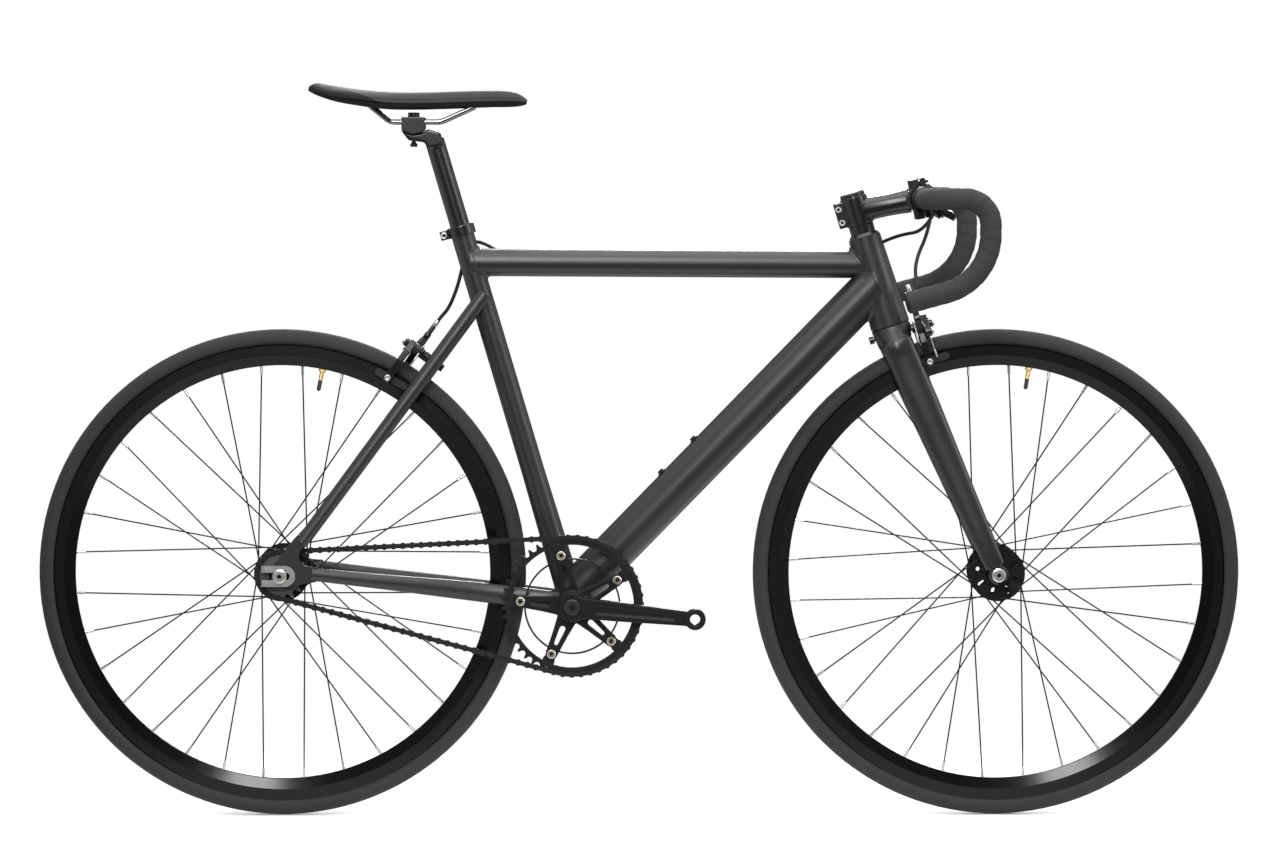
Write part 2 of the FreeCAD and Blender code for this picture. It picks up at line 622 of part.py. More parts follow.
def rim_solid(center, valve):
    w = RIM_HALF
    lip = w - 1.85
    out = turned([(RIM_BED_R, -4), (302, -w), (RIM_R, -w), (RIM_R, -lip), (308, -lip), (306, -3),
                  (306, 3), (308, lip), (RIM_R, lip), (RIM_R, w), (302, w), (RIM_BED_R, 4)], center)
    hollow = turned([(RIM_BED_R + 3, -3.2), (302.4, -w + 1.9), (306.2, -w + 1.9 + 0.6),
                     (304.2, -3), (304.2, 3), (306.2, w - 1.9 - 0.6), (302.4, w - 1.9),
                     (RIM_BED_R + 3, 3.2)], center)
    hole = cyl(at(center, 270, valve, 0), at(center, 312, valve, 0), VALVE_R + 0.2)
    return out.cut(hollow).cut(hole)


VALVE_R = 3.0
CASING_R = TYRE_W / 2
CASING_C = TYRE_R - CASING_R
BEAD = RIM_HALF - 2.05


def tyre_solid(center):
    c, r, i = CASING_C, CASING_R, CASING_R - 2.6
    low = math.sqrt(r * r - 16)
    inn = math.sqrt(i * i - 25)
    pts = [V(309.5, 0, -BEAD), V(RIM_R + 0.3, 0, -BEAD), V(RIM_R + 0.6, 0, -BEAD - 2.2),
           V(c - 4, 0, -low), V(c - 4, 0, low), V(RIM_R + 0.6, 0, BEAD + 2.2),
           V(RIM_R + 0.3, 0, BEAD), V(309.5, 0, BEAD), V(309.5, 0, BEAD - 2.6),
           V(316.8, 0, BEAD - 2.4), V(c - 5, 0, inn), V(c - 5, 0, -inn),
           V(316.8, 0, -BEAD + 2.4), V(309.5, 0, -BEAD + 2.6)]
    edges = []
    for k in range(len(pts)):
        p, q = pts[k], pts[(k + 1) % len(pts)]
        if k == 3:
            edges.append(Part.Arc(p, V(c + r, 0, 0), q).toShape())
        elif k == 10:
            edges.append(Part.Arc(p, V(c + i, 0, 0), q).toShape())
        else:
            edges.append(Part.makeLine(p, q))
    return ring_of(Part.Wire(edges), center)


TUBE_R = 9.3


def tube_solids(center, valve):
    mid = TYRE_R - 2.6 - 0.1 - TUBE_R
    ring = Part.makeTorus(mid, TUBE_R, center, Y).cut(Part.makeTorus(mid, TUBE_R - 1.0, center, Y))
    stem = cyl(at(center, mid - TUBE_R + 0.5, valve, 0), at(center, 272, valve, 0), VALVE_R)
    nut = cyl(at(center, RIM_BED_R - 0.1, valve, 0), at(center, RIM_BED_R - 3.6, valve, 0), 5.0)
    cap_up = cyl(at(center, 272, valve, 0), at(center, 260, valve, 0), 2.9)
    return ring.fuse(stem), nut.cut(stem), fuse(cap_up, ball(at(center, 260, valve, 0), 2.9))


def spoke_ends(center, y_flange, y_side, hub_angle, rim_angle, y_rim):
    """The bend and the rim end of one spoke."""
    off = FLANGE_T / 2 + SPOKE_R + 0.15
    p = at(center, SPOKE_HOLE_R, hub_angle, y_flange + y_side * off)
    return p, at(center, RIM_BED_R - 0.3, rim_angle, y_rim)


def spoke_solid(center, y_flange, y_side, hub_angle, rim_angle, y_rim):
    """One spoke with its bend, head and nipple."""
    p, q = spoke_ends(center, y_flange, y_side, hub_angle, rim_angle, y_rim)
    d = (q - p).normalize()
    n = (q - p).Length
    shank = place(lathe([(0, 0), (SPOKE_R, 0), (SPOKE_R, n - NIPPLE_LEN), (NIPPLE_R, n - NIPPLE_LEN),
                         (NIPPLE_R, n), (0, n)]), p, d, Y)
    far = V(p.x, y_flange - y_side * (FLANGE_T / 2 + 0.1), p.z)
    stub = cyl(p, far, SPOKE_R)
    head = cyl(far, far - Y * (y_side * 1.3), 1.9)
    return fuse(shank, stub, ball(p, SPOKE_R), head)


def lacing(first, flanges):
    """The four kinds of spoke: flange, side of it, hub angle, rim angle and rim offset."""
    step = 360.0 / SPOKES
    cross = 6 * step
    rows = []
    for side in (0, 1):
        sign = 1 if flanges[side] > 0 else -1
        for kind in (1, -1):
            rim_angle = first + step * (side + (1 - kind))
            rows.append((flanges[side], sign * kind, rim_angle + cross * kind, rim_angle, sign * 1.2))
    return rows


def around(shape, center):
    """Copies of one spoke's shape all round a wheel."""
    out = []
    for k in range(SPOKES // 4):
        turn = shape.copy()
        turn.rotate(center, Y, 1440.0 / SPOKES * k)
        out.append(turn)
    return out


def spokes_of(center, first, flanges):
    """All spokes of a wheel, three cross, left and right sides in turn."""
    out = []
    for row in lacing(first, flanges):
        out.extend(around(spoke_solid(center, *row), center))
    return out


def hub_cut(hub, center, first, flanges):
    """Cuts the spoke holes, their grooves and the lightening slots of both flanges."""
    step = 360.0 / SPOKES
    holes = []
    for row in lacing(first, flanges):
        p, q = spoke_ends(center, *row)
        groove = fuse(cyl(p, p + (q - p) * 0.12, SPOKE_R + 0.1), ball(p, SPOKE_R + 0.1))
        holes.extend(around(groove, center))
    for side in (0, 1):
        y = flanges[side]
        for k in range(SPOKES // 2):
            a = first + step * (side + 2 * k) + 6 * step
            holes.append(cyl(at(center, SPOKE_HOLE_R, a, y - 6), at(center, SPOKE_HOLE_R, a, y + 6),
                             SPOKE_R + 0.15))
        for k in range(8):
            a = first + step * side + 45.0 * k
            slot = Part.makeBox(6.0, 12, 5.6, V(-3, -6, -2.8))
            slot = fuse(slot, cyl(V(0, -6, 2.8), V(0, 6, 2.8), 3.0),
                        cyl(V(0, -6, -2.8), V(0, 6, -2.8), 3.0))
            d = at(O, 1, a, 0)
            holes.append(place(slot, at(center, 25.4, a, y), d, Y.cross(d)))
    return hub.cut(Part.makeCompound(holes))


FRONT_FLANGES = (33.0, -33.0)
REAR_FLANGES = (33.0, -28.5)
BORE = 11.0
f = FLANGE_T / 2
front_hub = turned([(BORE, -40), (14.5, -40), (15.5, -34.5), (FLANGE_R, -33 - f), (FLANGE_R, -33 + f),
                    (18, -33 + f), (12.5, -22), (12.5, 22), (18, 33 - f), (FLANGE_R, 33 - f),
                    (FLANGE_R, 33 + f), (15.5, 34.5), (14.5, 40), (BORE, 40), (BORE, 32), (7, 32),
                    (7, -32), (BORE, -32)], FRONT)
COG_BORE = 17.0
rear_hub = turned([(13, -46), (COG_BORE, -46), (COG_BORE, -28.5 - f), (FLANGE_R, -28.5 - f),
                   (FLANGE_R, -28.5 + f), (20, -28.5 + f), (15.5, -16), (15.5, 21), (20, 33 - f),
                   (FLANGE_R, 33 - f), (FLANGE_R, 33 + f), (19, 34.5), (17, 46), (13, 46), (13, 38),
                   (7, 38), (7, -38), (13, -38)], REAR)
FRONT_FIRST = 3.4
REAR_FIRST = 5.625
FRONT_VALVE = FRONT_FIRST + 180.0 / SPOKES
REAR_VALVE = REAR_FIRST + 180.0 / SPOKES


def bearing(center, y0, y1, ro):
    return turned([(AXLE_R + RUN, y0), (ro - 0.02, y0), (ro - 0.02, y1), (AXLE_R + RUN, y1)], center)


node("front_rim", rim_solid(FRONT, FRONT_VALVE))
node("front_tyre", tyre_solid(FRONT))
node("front_inner_tube", *tube_solids(FRONT, FRONT_VALVE))
node("front_spokes", *spokes_of(FRONT, FRONT_FIRST, FRONT_FLANGES))
node("front_hub", hub_cut(front_hub, FRONT, FRONT_FIRST, FRONT_FLANGES),
     bearing(FRONT, 32.05, 39.5, BORE), bearing(FRONT, -39.5, -32.05, BORE))
node("rear_rim", rim_solid(REAR, REAR_VALVE))
node("rear_tyre", tyre_solid(REAR))
node("rear_inner_tube", *tube_solids(REAR, REAR_VALVE))
node("rear_spokes", *spokes_of(REAR, REAR_FIRST, REAR_FLANGES))
node("rear_hub", hub_cut(rear_hub, REAR, REAR_FIRST, REAR_FLANGES),
     bearing(REAR, 38.05, 45.5, 13.0), bearing(REAR, -45.5, -38.05, 13.0))


def axle_solid(center, half, y_hub, face):
    """An axle with its spacers and a flanged socket bolt at each end."""
    rod = cyl(center - Y * (face + 4), center + Y * (face + 4), AXLE_R)
    for s in (-1, 1):
        rod = rod.fuse(cyl(center + Y * (s * y_hub), center + Y * (s * (half - 0.05)), 8.5))
        base = center + Y * (s * (face + 0.05))
        head = place(lathe([(0, 0), (9.7, 0), (9.7, 2.2), (7.6, 3.0), (7.2, 9.6), (3.2, 9.6), (3.2, 4.5),
                            (0, 4.5)]), base, Y * s, X)
        rod = rod.fuse(head)
    return rod.removeSplitter()


node("front_axle", axle_solid(FRONT, FRONT_HALF, 40.6, FRONT_HALF + PLATE_T))
node("rear_axle", axle_solid(REAR, REAR_HALF, 46.6, REAR_HALF + PLATE_T + 1.6))

# Chain drive. Rollers sit in the tooth gaps of both sprockets and close the loop.
SEAT_GAP = 0.12
line_dir = V(BB.x - REAR.x, 0, BB.z - REAR.z).normalize()
line_up = V(-line_dir.z, 0, line_dir.x)


def on_line(base, u, v, y):
    return base + line_dir * u + line_up * v + Y * y


def sprocket(teeth, radius, thickness, center, toward):
    """A toothed disc. A tooth gap lies on the line of centres, towards the given side."""
    pitch = 360.0 / teeth
    r = ROLLER_R + SEAT_GAP
    edges = []
    last = None
    first = None
    for k in range(teeth):
        a = pitch * k
        c = V(radius * math.cos(rad(a)), radius * math.sin(rad(a)), 0)
        out = V(math.cos(rad(a)), math.sin(rad(a)), 0)
        side = V(-out.y, out.x, 0)
        lo = c - out * (r * math.cos(rad(62))) - side * (r * math.sin(rad(62)))
        hi = c - out * (r * math.cos(rad(62))) + side * (r * math.sin(rad(62)))
        tip0 = c + out * 2.9 - side * 5.4
        tip1 = c + out * 2.9 + side * 5.4
        if last is not None:
            edges.append(Part.makeLine(last, tip0))
        else:
            first = tip0
        edges.append(Part.makeLine(tip0, lo))
        edges.append(Part.Arc(lo, c - out * r, hi).toShape())
        edges.append(Part.makeLine(hi, tip1))
        last = tip1
    edges.append(Part.makeLine(last, first))
    face = Part.Face(Part.Wire(edges))
    solid = face.extrude(V(0, 0, thickness))
    return place(solid, center - Y * (CHAINLINE - thickness / 2), -Y, line_dir * toward)


ring = sprocket(RING_TEETH, RING_R, TOOTH_T, BB, 1)
BAND_R = 85.0
INNER_RING_R = 65.5
ring_y0 = -CHAINLINE + TOOTH_T / 2
ring_y1 = -CHAINLINE - TOOTH_T / 2
ring = ring.cut(cyl(BB + Y * (ring_y0 + 1), BB + Y * (ring_y1 - 1), BAND_R))
thin = tube(BB + Y * ring_y0, BB + Y * ring_y1, INNER_RING_R + 1.2, INNER_RING_R - 1.2)
BOLT_ANGLES = [30.4 + 72.0 * k for k in range(5)]


def drive_at(r, angle, y):
    """A point about the crank axle, with angles from the front upwards."""
    return BB + V(r * math.cos(rad(angle)), y, r * math.sin(rad(angle)))


tabs = []
holes = []
for a in BOLT_ANGLES:
    d = drive_at(1, a, 0) - BB
    web = Part.makeBox(BAND_R + 1.5 - INNER_RING_R, 17, TOOTH_T, V(INNER_RING_R, -8.5, 0))
    tabs.append(place(web, BB + Y * ring_y0, -Y, d))
    tabs.append(cyl(drive_at(BOLT_CIRCLE_R, a, ring_y0), drive_at(BOLT_CIRCLE_R, a, ring_y1), 8.8))
    for s in (-1, 1):
        q = drive_at(77.5, a + s * 10.8, 0) - BB
        holes.append(cyl(BB + q + Y * (ring_y0 + 1), BB + q + Y * (ring_y1 - 1), 7.4))
    holes.append(cyl(drive_at(BOLT_CIRCLE_R, a, -30), drive_at(BOLT_CIRCLE_R, a, -60), 4.1))
chainring = fuse(ring, thin, *tabs).cut(Part.makeCompound(holes))
node("chainring", chainring)
cog = sprocket(COG_TEETH, COG_R, TOOTH_T, REAR, -1)
cog = cog.cut(cyl(REAR - Y * 30, REAR - Y * 60, COG_BORE + 0.03))
leave = V(reach / RUN_LINKS, 0, rise / RUN_LINKS)
reliefs = []
for sign in (-1, 1):
    u = -COG_R * math.cos(rad(cog_end)) + leave.x
    v = sign * (COG_R * math.sin(rad(cog_end)) + leave.z)
    relief = cyl(on_line(REAR, u, v, -CHAINLINE - 5), on_line(REAR, u, v, -CHAINLINE + 5), ROLLER_R + 0.1)
    for k in range(COG_TEETH):
        turn = relief.copy()
        turn.rotate(REAR, Y, 360.0 / COG_TEETH * k)
        reliefs.append(turn)
cog = cog.cut(Part.makeCompound(reliefs))
cog = max(cog.Solids, key=lambda s: s.Volume)
lockring = turned([(COG_BORE + 0.03, -45.6), (20.5, -45.6), (20.5, -43.5), (COG_BORE + 0.03, -43.5)],
                  REAR)
for k in range(3):
    a = 120.0 * k + 40
    lockring = lockring.cut(place(Part.makeBox(4, 6, 8, V(-2, -3, -2)), at(REAR, 20.5, a, -44.5),
                                  at(O, 1, a, 0), Y))
spacer_ring = turned([(COG_BORE + 0.03, -40.5), (19.5, -40.5), (19.5, -31.5), (COG_BORE + 0.03, -31.5)],
                     REAR)
node("rear_cog", cog, lockring, spacer_ring)

PIN_R = 1.8
PLATE_R = 4.3
WAIST = 3.0
INNER_HALF = 1.7
LINK_T = 1.0


def link_plate(hole):
    """A chain plate with a waist between its two eyes, in the local x, y plane."""
    h = CHAIN_PITCH / 2
    dx = math.sqrt(PLATE_R ** 2 - WAIST ** 2)
    edges = [Part.Arc(V(h - dx, -WAIST, 0), V(h + PLATE_R, 0, 0), V(h - dx, WAIST, 0)).toShape(),
             Part.makeLine(V(h - dx, WAIST, 0), V(dx - h, WAIST, 0)),
             Part.Arc(V(dx - h, WAIST, 0), V(-h - PLATE_R, 0, 0), V(dx - h, -WAIST, 0)).toShape(),
             Part.makeLine(V(dx - h, -WAIST, 0), V(h - dx, -WAIST, 0))]
    s = Part.Face(Part.Wire(edges)).extrude(V(0, 0, LINK_T))
    if hole:
        for x in (-h, h):
            s = s.cut(cyl(V(x, 0, -1), V(x, 0, 3), hole))
    return s


def moved(shape, z):
    out = shape.copy()
    out.translate(V(0, 0, z))
    return out


inner_plate = link_plate(PIN_R + RUN)
outer_plate = link_plate(0)
half = CHAIN_PITCH / 2
rollers = [tube(V(x, 0, -INNER_HALF), V(x, 0, INNER_HALF), ROLLER_R, PIN_R + RUN) for x in (-half, half)]
inner_link = fuse(moved(inner_plate, INNER_HALF), moved(inner_plate, -INNER_HALF - LINK_T), *rollers)
side_gap = INNER_HALF + LINK_T + 0.1
pin_end = side_gap + LINK_T + 0.5
pins = [cyl(V(x, 0, -pin_end), V(x, 0, pin_end), PIN_R) for x in (-half, half)]
outer_link = fuse(moved(outer_plate, side_gap), moved(outer_plate, -side_gap - LINK_T), *pins)
loop = []
for k in range(-COG_STEPS, COG_STEPS + 1):
    a = 360.0 / COG_TEETH * k
    loop.append((-COG_R * math.cos(rad(a)), COG_R * math.sin(rad(a))))
start, stop = loop[-1], (CENTRES + RING_R * math.cos(rad(ring_end)), RING_R * math.sin(rad(ring_end)))
for k in range(1, RUN_LINKS):
    t = k / RUN_LINKS
    loop.append((start[0] + (stop[0] - start[0]) * t, start[1] + (stop[1] - start[1]) * t))
for k in range(RING_STEPS, -RING_STEPS - 1, -1):
    a = 360.0 / RING_TEETH * k
    loop.append((CENTRES + RING_R * math.cos(rad(a)), RING_R * math.sin(rad(a))))
start, stop = loop[-1], loop[0]
for k in range(1, RUN_LINKS):
    t = k / RUN_LINKS
    loop.append((start[0] + (stop[0] - start[0]) * t, start[1] + (stop[1] - start[1]) * t))
links = []
for k in range(len(loop)):
    p = on_line(REAR, loop[k][0], loop[k][1], -CHAINLINE)
    q = on_line(REAR, loop[(k + 1) % len(loop)][0], loop[(k + 1) % len(loop)][1], -CHAINLINE)
    links.append(place(inner_link if k % 2 else outer_link, (p + q) * 0.5, Y, q - p))
node("chain", *links)

# Cranks on a through spindle.
BOSS_R = 20.0
CRANK_IN = 44.0
CRANK_OUT = 62.0
ARM_T = 12.5
FLARE = 0.06
CAP_R = 11.0
spindle = cyl(BB - Y * (CRANK_OUT - 1), BB + Y * (CRANK_OUT - 1), SPINDLE_R)
node("bb_spindle", spindle)
arm_outline = [(0, -14.5), (60, -13.6), (148, -10.5), (CRANK_LEN, -10.0), (CRANK_LEN, 10.0), (148, 10.5),
               (60, 13.6), (0, 14.5)]
groove_outline = [(36, -6.0), (140, -4.2), via(144.2, 0), (140, 4.2), (36, 6.0), via(30, 0)]


def crank(side, angle):
    """A crank arm: side -1 is the drive side."""
    d = drive_at(1, angle, 0) - BB
    out = Y * side
    along = (d + out * FLARE).normalize()
    top = along.cross(out).normalize().cross(along).normalize()
    base = BB + out * (CRANK_OUT - ARM_T)
    face = base + out * ARM_T
    arm_solid = plate(arm_outline, ARM_T, base, top, along)
    eye_mid = BB + d * CRANK_LEN + out * (CRANK_OUT - ARM_T / 2 + FLARE * CRANK_LEN)
    eye = cyl(eye_mid - out * 7.0, eye_mid + out * 7.0, 14.7)
    boss = cyl(BB + out * CRANK_IN, BB + out * CRANK_OUT, BOSS_R)
    body = fuse(arm_solid, eye, boss)
    body = body.cut(plate(groove_outline, 6, face - top * 1.4, top, along))
    body = body.cut(cyl(eye_mid - out * 20, eye_mid + out * 20, PEDAL_R))
    body = body.cut(cyl(BB + out * CRANK_OUT, BB + out * (CRANK_OUT + 5), CAP_R + 0.1))
    return body, eye_mid


right_arm, right_eye = crank(-1, CRANK_ANGLE)
SPIDER_Y = -CHAINLINE - TOOTH_T / 2 - 0.05
SPIDER_T = 5.0
spider_arm = [(10, -15), (40, -11), (BOLT_CIRCLE_R, -8.2), via(BOLT_CIRCLE_R + 8.2, 0),
              (BOLT_CIRCLE_R, 8.2), (40, 11), (10, 15)]
spider_slot = [(34, -4.0), (56, -2.6), via(58.6, 0), (56, 2.6), (34, 4.0), via(30, 0)]
arms = []
slots = []
for a in BOLT_ANGLES:
    d = drive_at(1, a, 0) - BB
    arms.append(plate(spider_arm, SPIDER_T, BB + Y * SPIDER_Y, -Y, d))
    slots.append(plate(spider_slot, 20, BB + Y * (SPIDER_Y + 5), -Y, d))
    slots.append(cyl(drive_at(BOLT_CIRCLE_R, a, -30), drive_at(BOLT_CIRCLE_R, a, -60), 4.1))
right_arm = fuse(right_arm, *arms).cut(Part.makeCompound(slots))
axle_hole = cyl(BB - Y * 80, BB + Y * 80, SPINDLE_R + 0.03)
right_arm = right_arm.cut(axle_hole)
left_arm, left_eye = crank(1, CRANK_ANGLE + 180)
left_arm = left_arm.cut(axle_hole)
node("right_crank", max(right_arm.Solids, key=lambda s: s.Volume))
node("left_crank", left_arm)
fasteners = []
for s in (-1, 1):
    cap_line = lathe([(0, 0), (CAP_R, 0), (CAP_R, 1.6), (9.8, 3.0), (4.2, 3.0), (4.2, 1.0), (0, 1.0)])
    fasteners.append(place(cap_line, BB + Y * (s * (CRANK_OUT + 0.05)), Y * s, X))
for a in BOLT_ANGLES:
    y1 = SPIDER_Y - SPIDER_T - 0.05
    bolt = place(lathe([(0, -11.3), (4.0, -11.3), (4.0, 0), (6.0, 0), (6.0, 1.4), (5.2, 2.0), (2.6, 2.0),
                        (2.6, -1.5), (0, -1.5)]), drive_at(BOLT_CIRCLE_R, a, y1), -Y, X)
    nut = cyl(drive_at(BOLT_CIRCLE_R, a, ring_y0 + 0.05), drive_at(BOLT_CIRCLE_R, a, ring_y0 + 1.8), 6.0)
    fasteners.append(fuse(bolt, nut))
node("crank_fasteners", *fasteners)

# Rim brakes: two arms on two pivots, with a pad on each arm.
ARM_LAYER = 9.0
LAYER_GAP = 0.5
BRACKET_T = 3.5
PIVOT_R = 3.0
PIVOT_OFF = (19.0, -3.0)
PAD_T = 6.5
PAD_H = 10.0
PAD_LEN = 50.0


class Caliper:
    """One brake. u is across the wheel, v the reach towards the axle, w along the bolt."""

    def __init__(self, hole, v_dir, w_dir, u_dir, w0, axle):
        self.hole = hole
        self.v = V(v_dir)
        self.w = V(w_dir)
        self.u = V(u_dir)
        self.w0 = w0
        self.axle = axle

    def p(self, u, v, w):
        return self.hole + self.u * u + self.v * v + self.w * w

    def strip(self, points, r, w_from, depth):
        """A flat bar with rounded corners through (u, v) points."""
        out = None
        for a, b in zip(points, points[1:]):
            pa, pb = self.p(a[0], a[1], w_from), self.p(b[0], b[1], w_from)
            d = pb - pa
            box = Part.makeBox(d.Length, 2 * r, depth, V(0, -r, 0))
            for s in (place(box, pa, self.w, d), cyl(pa, pa + self.w * depth, r),
                      cyl(pb, pb + self.w * depth, r)):
                out = s if out is None else out.fuse(s)
        return out.removeSplitter()

    def rod(self, u, v, w_from, w_to, r):
        return cyl(self.p(u, v, w_from), self.p(u, v, w_to), r)

    def pad_point(self, w):
        """The reach at which the pad meets the middle of the brake track."""
        lo, hi = 20.0, 80.0
        for _ in range(60):
            mid = (lo + hi) / 2
            if (self.p(0, mid, w) - self.axle).Length > TRACK_R:
                lo = mid
            else:
                hi = mid
        return lo

    def build(self, back):
        w0 = self.w0
        a_from = w0 + BRACKET_T + LAYER_GAP
        b_from = a_from + ARM_LAYER + LAYER_GAP
        pu, pv = PIVOT_OFF
        bracket = self.strip([(0, 0), PIVOT_OFF], 7.0, w0, BRACKET_T)
        end = b_from + ARM_LAYER
        bolt = fuse(bracket, self.rod(0, 0, -back - 6, end + LAYER_GAP, PIVOT_R),
                    self.rod(pu, pv, w0, end + LAYER_GAP, PIVOT_R),
                    self.rod(0, 0, end + LAYER_GAP, end + 5.5, 5.6),
                    self.rod(pu, pv, end + LAYER_GAP, end + 4.0, 5.0),
                    self.rod(0, 0, -back - 6.5, -back - 0.1, 5.4))
        spacer_w = self.seat + 0.05
        if w0 - spacer_w > 1:
            bolt = fuse(bolt, self.rod(0, 0, spacer_w, w0, 7.0))
        mid = b_from - LAYER_GAP / 2
        reach_v = self.pad_point(mid)
        arm_a = self.strip([(-34, -13), (-27, 5), (-31, 22), (-26, reach_v)], 6.5, a_from, ARM_LAYER)
        arm_a = fuse(arm_a, self.strip([(0, 0), (-27, 5)], 8.0, a_from, ARM_LAYER))
        arm_b = self.strip([(-34, 9), (-12, -9), PIVOT_OFF, (31, 10), (32, 24), (26, reach_v)], 6.5,
                           b_from, ARM_LAYER)
        arm_b = arm_b.cut(self.rod(0, 0, b_from - 1, end + 1, 6.2))
        arm_a = arm_a.cut(self.rod(pu, pv, a_from - 1, b_from, 6.2))
        arm_a = arm_a.cut(self.rod(0, 0, 0, 90, PIVOT_R + RUN))
        arm_b = arm_b.cut(self.rod(pu, pv, 0, 90, PIVOT_R + RUN))
        bolt_hub = tube(self.p(pu, pv, w0 + BRACKET_T), self.p(pu, pv, b_from - 0.1), 5.5, PIVOT_R - 0.2)
        bolt = fuse(bolt, bolt_hub)
        pads = []
        radial = (self.p(0, reach_v, mid) - self.axle).normalize()
        along = radial.cross(Y).normalize()
        inner = RIM_HALF + PAD_GAP
        for s in (-1, 1):
            out = self.u * s
            c = self.p(0, reach_v, mid) + out * inner
            h = PAD_LEN / 2 - PAD_H / 2
            shoe = plate([(-h, -PAD_H / 2), (h, -PAD_H / 2), via(h + PAD_H / 2, 0), (h, PAD_H / 2),
                          (-h, PAD_H / 2), via(-h - PAD_H / 2, 0)], PAD_T, c, out, along)
            for k in (-1, 1):
                cut = plate([(k * 9 - 0.8, -6), (k * 9 + 0.8, -6), (k * 9 + 0.8, 6), (k * 9 - 0.8, 6)],
                            1.4, c - out * 0.1, out, along)
                shoe = shoe.cut(cut)
            layer = (a_from if s < 0 else b_from) + ARM_LAYER / 2
            stud = cyl(self.p(s * (inner + PAD_T - 1), reach_v, layer), self.p(s * 34, reach_v, layer), 2.5)
            shoe = fuse(shoe, stud, cyl(self.p(s * 32.6, reach_v, layer), self.p(s * 36, reach_v, layer), 4.6))
            hole = fuse(cyl(self.p(s * 10, reach_v, layer), self.p(s * 50, reach_v, layer), 2.53),
                        cyl(self.p(s * 32.55, reach_v, layer), self.p(s * 50, reach_v, layer), 4.8))
            if s < 0:
                arm_a = arm_a.cut(hole)
            else:
                arm_b = arm_b.cut(hole)
            pads.append(shoe)
        self.mid = mid
        self.a_mid = a_from + ARM_LAYER / 2
        self.b_mid = b_from + ARM_LAYER / 2
        big = [max(s.Solids, key=lambda t: t.Volume) for s in (arm_a, arm_b)]
        return bolt, big[0], big[1], pads[0], pads[1]


TRACK_R = 309.0
front_caliper = Caliper(brake_hole, -STEER, AHEAD, Y, 28.5, FRONT)
front_caliper.seat = 27.2
rear_caliper = Caliper(bridge_mid, REAR_V, REAR_W, -Y, 22.0, REAR)
rear_caliper.seat = 8.0
for name, cal, back, a_side, b_side in (("front", front_caliper, 27.0, "right", "left"),
                                        ("rear", rear_caliper, 8.0, "left", "right")):
    bolt, arm_a, arm_b, pad_a, pad_b = cal.build(back)
    node(name + "_brake_pivot_bolt", bolt)
    node(name + "_brake_arm_" + a_side, arm_a)
    node(name + "_brake_arm_" + b_side, arm_b)
    node(name + "_brake_pad_" + a_side, pad_a)
    node(name + "_brake_pad_" + b_side, pad_b)

# Cross-top brake levers beside the stem.
LEVER_Y = 62.0
LEVER_OUT = 30.0
LEVER_T = 9.0
LEVER_END = 136.0
away = V(0.81, 0, -0.586).normalize()
hinge_dir = V(0.586, 0, 0.81).normalize()


def lever_point(side, y, out, q):
    return BAR + Y * (side * y) + away * out + hinge_dir * q


def lever_strip(side, points, q_from, depth):
    """A flat bar through (y, out, radius) points."""
    shape = None
    for a, b in zip(points, points[1:]):
        pa = lever_point(side, a[0], a[1], q_from)
        pb = lever_point(side, b[0], b[1], q_from)
        d = pb - pa
        n = hinge_dir.cross(d).normalize()
        quad = Part.makePolygon([pa + n * a[2], pb + n * b[2], pb - n * b[2], pa - n * a[2], pa + n * a[2]])
        for s in (Part.Face(quad).extrude(hinge_dir * depth), cyl(pa, pa + hinge_dir * depth, a[2]),
                  cyl(pb, pb + hinge_dir * depth, b[2])):
            shape = s if shape is None else shape.fuse(s)
    return shape.removeSplitter()


clamps = []
for side, name in ((-1, "rear_brake_lever"), (1, "front_brake_lever")):
    blade_bar = lever_strip(side, [(LEVER_Y, LEVER_OUT, 6.5), (LEVER_Y + 16, LEVER_OUT + 3, 5.0),
                                   (LEVER_END - 18, LEVER_OUT + 7, 4.6), (LEVER_END, LEVER_OUT + 11, 5.2)],
                            -LEVER_T / 2, LEVER_T)
    pin_hole = cyl(lever_point(side, LEVER_Y, LEVER_OUT, -20), lever_point(side, LEVER_Y, LEVER_OUT, 20), 2.05)
    node(name, blade_bar.cut(pin_hole))
    band = tube(BAR + Y * (side * (LEVER_Y - 7)), BAR + Y * (side * (LEVER_Y + 7)), BAR_R + 4.2, BAR_R + 0.03)
    ears = None
    for q in (LEVER_T / 2 + 0.3, -LEVER_T / 2 - 0.3 - 2.6):
        ear = lever_strip(side, [(LEVER_Y, BAR_R + 1, 6.5), (LEVER_Y, LEVER_OUT, 6.5)], q, 2.6)
        ears = ear if ears is None else ears.fuse(ear)
    pin = cyl(lever_point(side, LEVER_Y, LEVER_OUT, -LEVER_T / 2 - 4), lever_point(side, LEVER_Y, LEVER_OUT,
              LEVER_T / 2 + 4), 2.0)
    stop = cyl(lever_point(side, LEVER_Y - 17, LEVER_OUT - 8, 0), lever_point(side, LEVER_Y - 4, 19.5, 0), 3.6)
    bar_line = cyl(BAR - Y * 90, BAR + Y * 90, BAR_R + 0.03)
    clamps.append(fuse(band, ears.cut(bar_line), pin, stop.cut(bar_line)))
    screw_at = BAR + Y * (side * LEVER_Y) - away * 4 + hinge_dir * (BAR_R + 4.0)
    clamps[-1] = fuse(clamps[-1], cyl(screw_at, screw_at + hinge_dir * 3.4, 4.2))
node("lever_clamps", *clamps)

# Brake cables and the bottle screws.


def cable(points):
    return bent(points, soft_radii(points), CABLE_R)


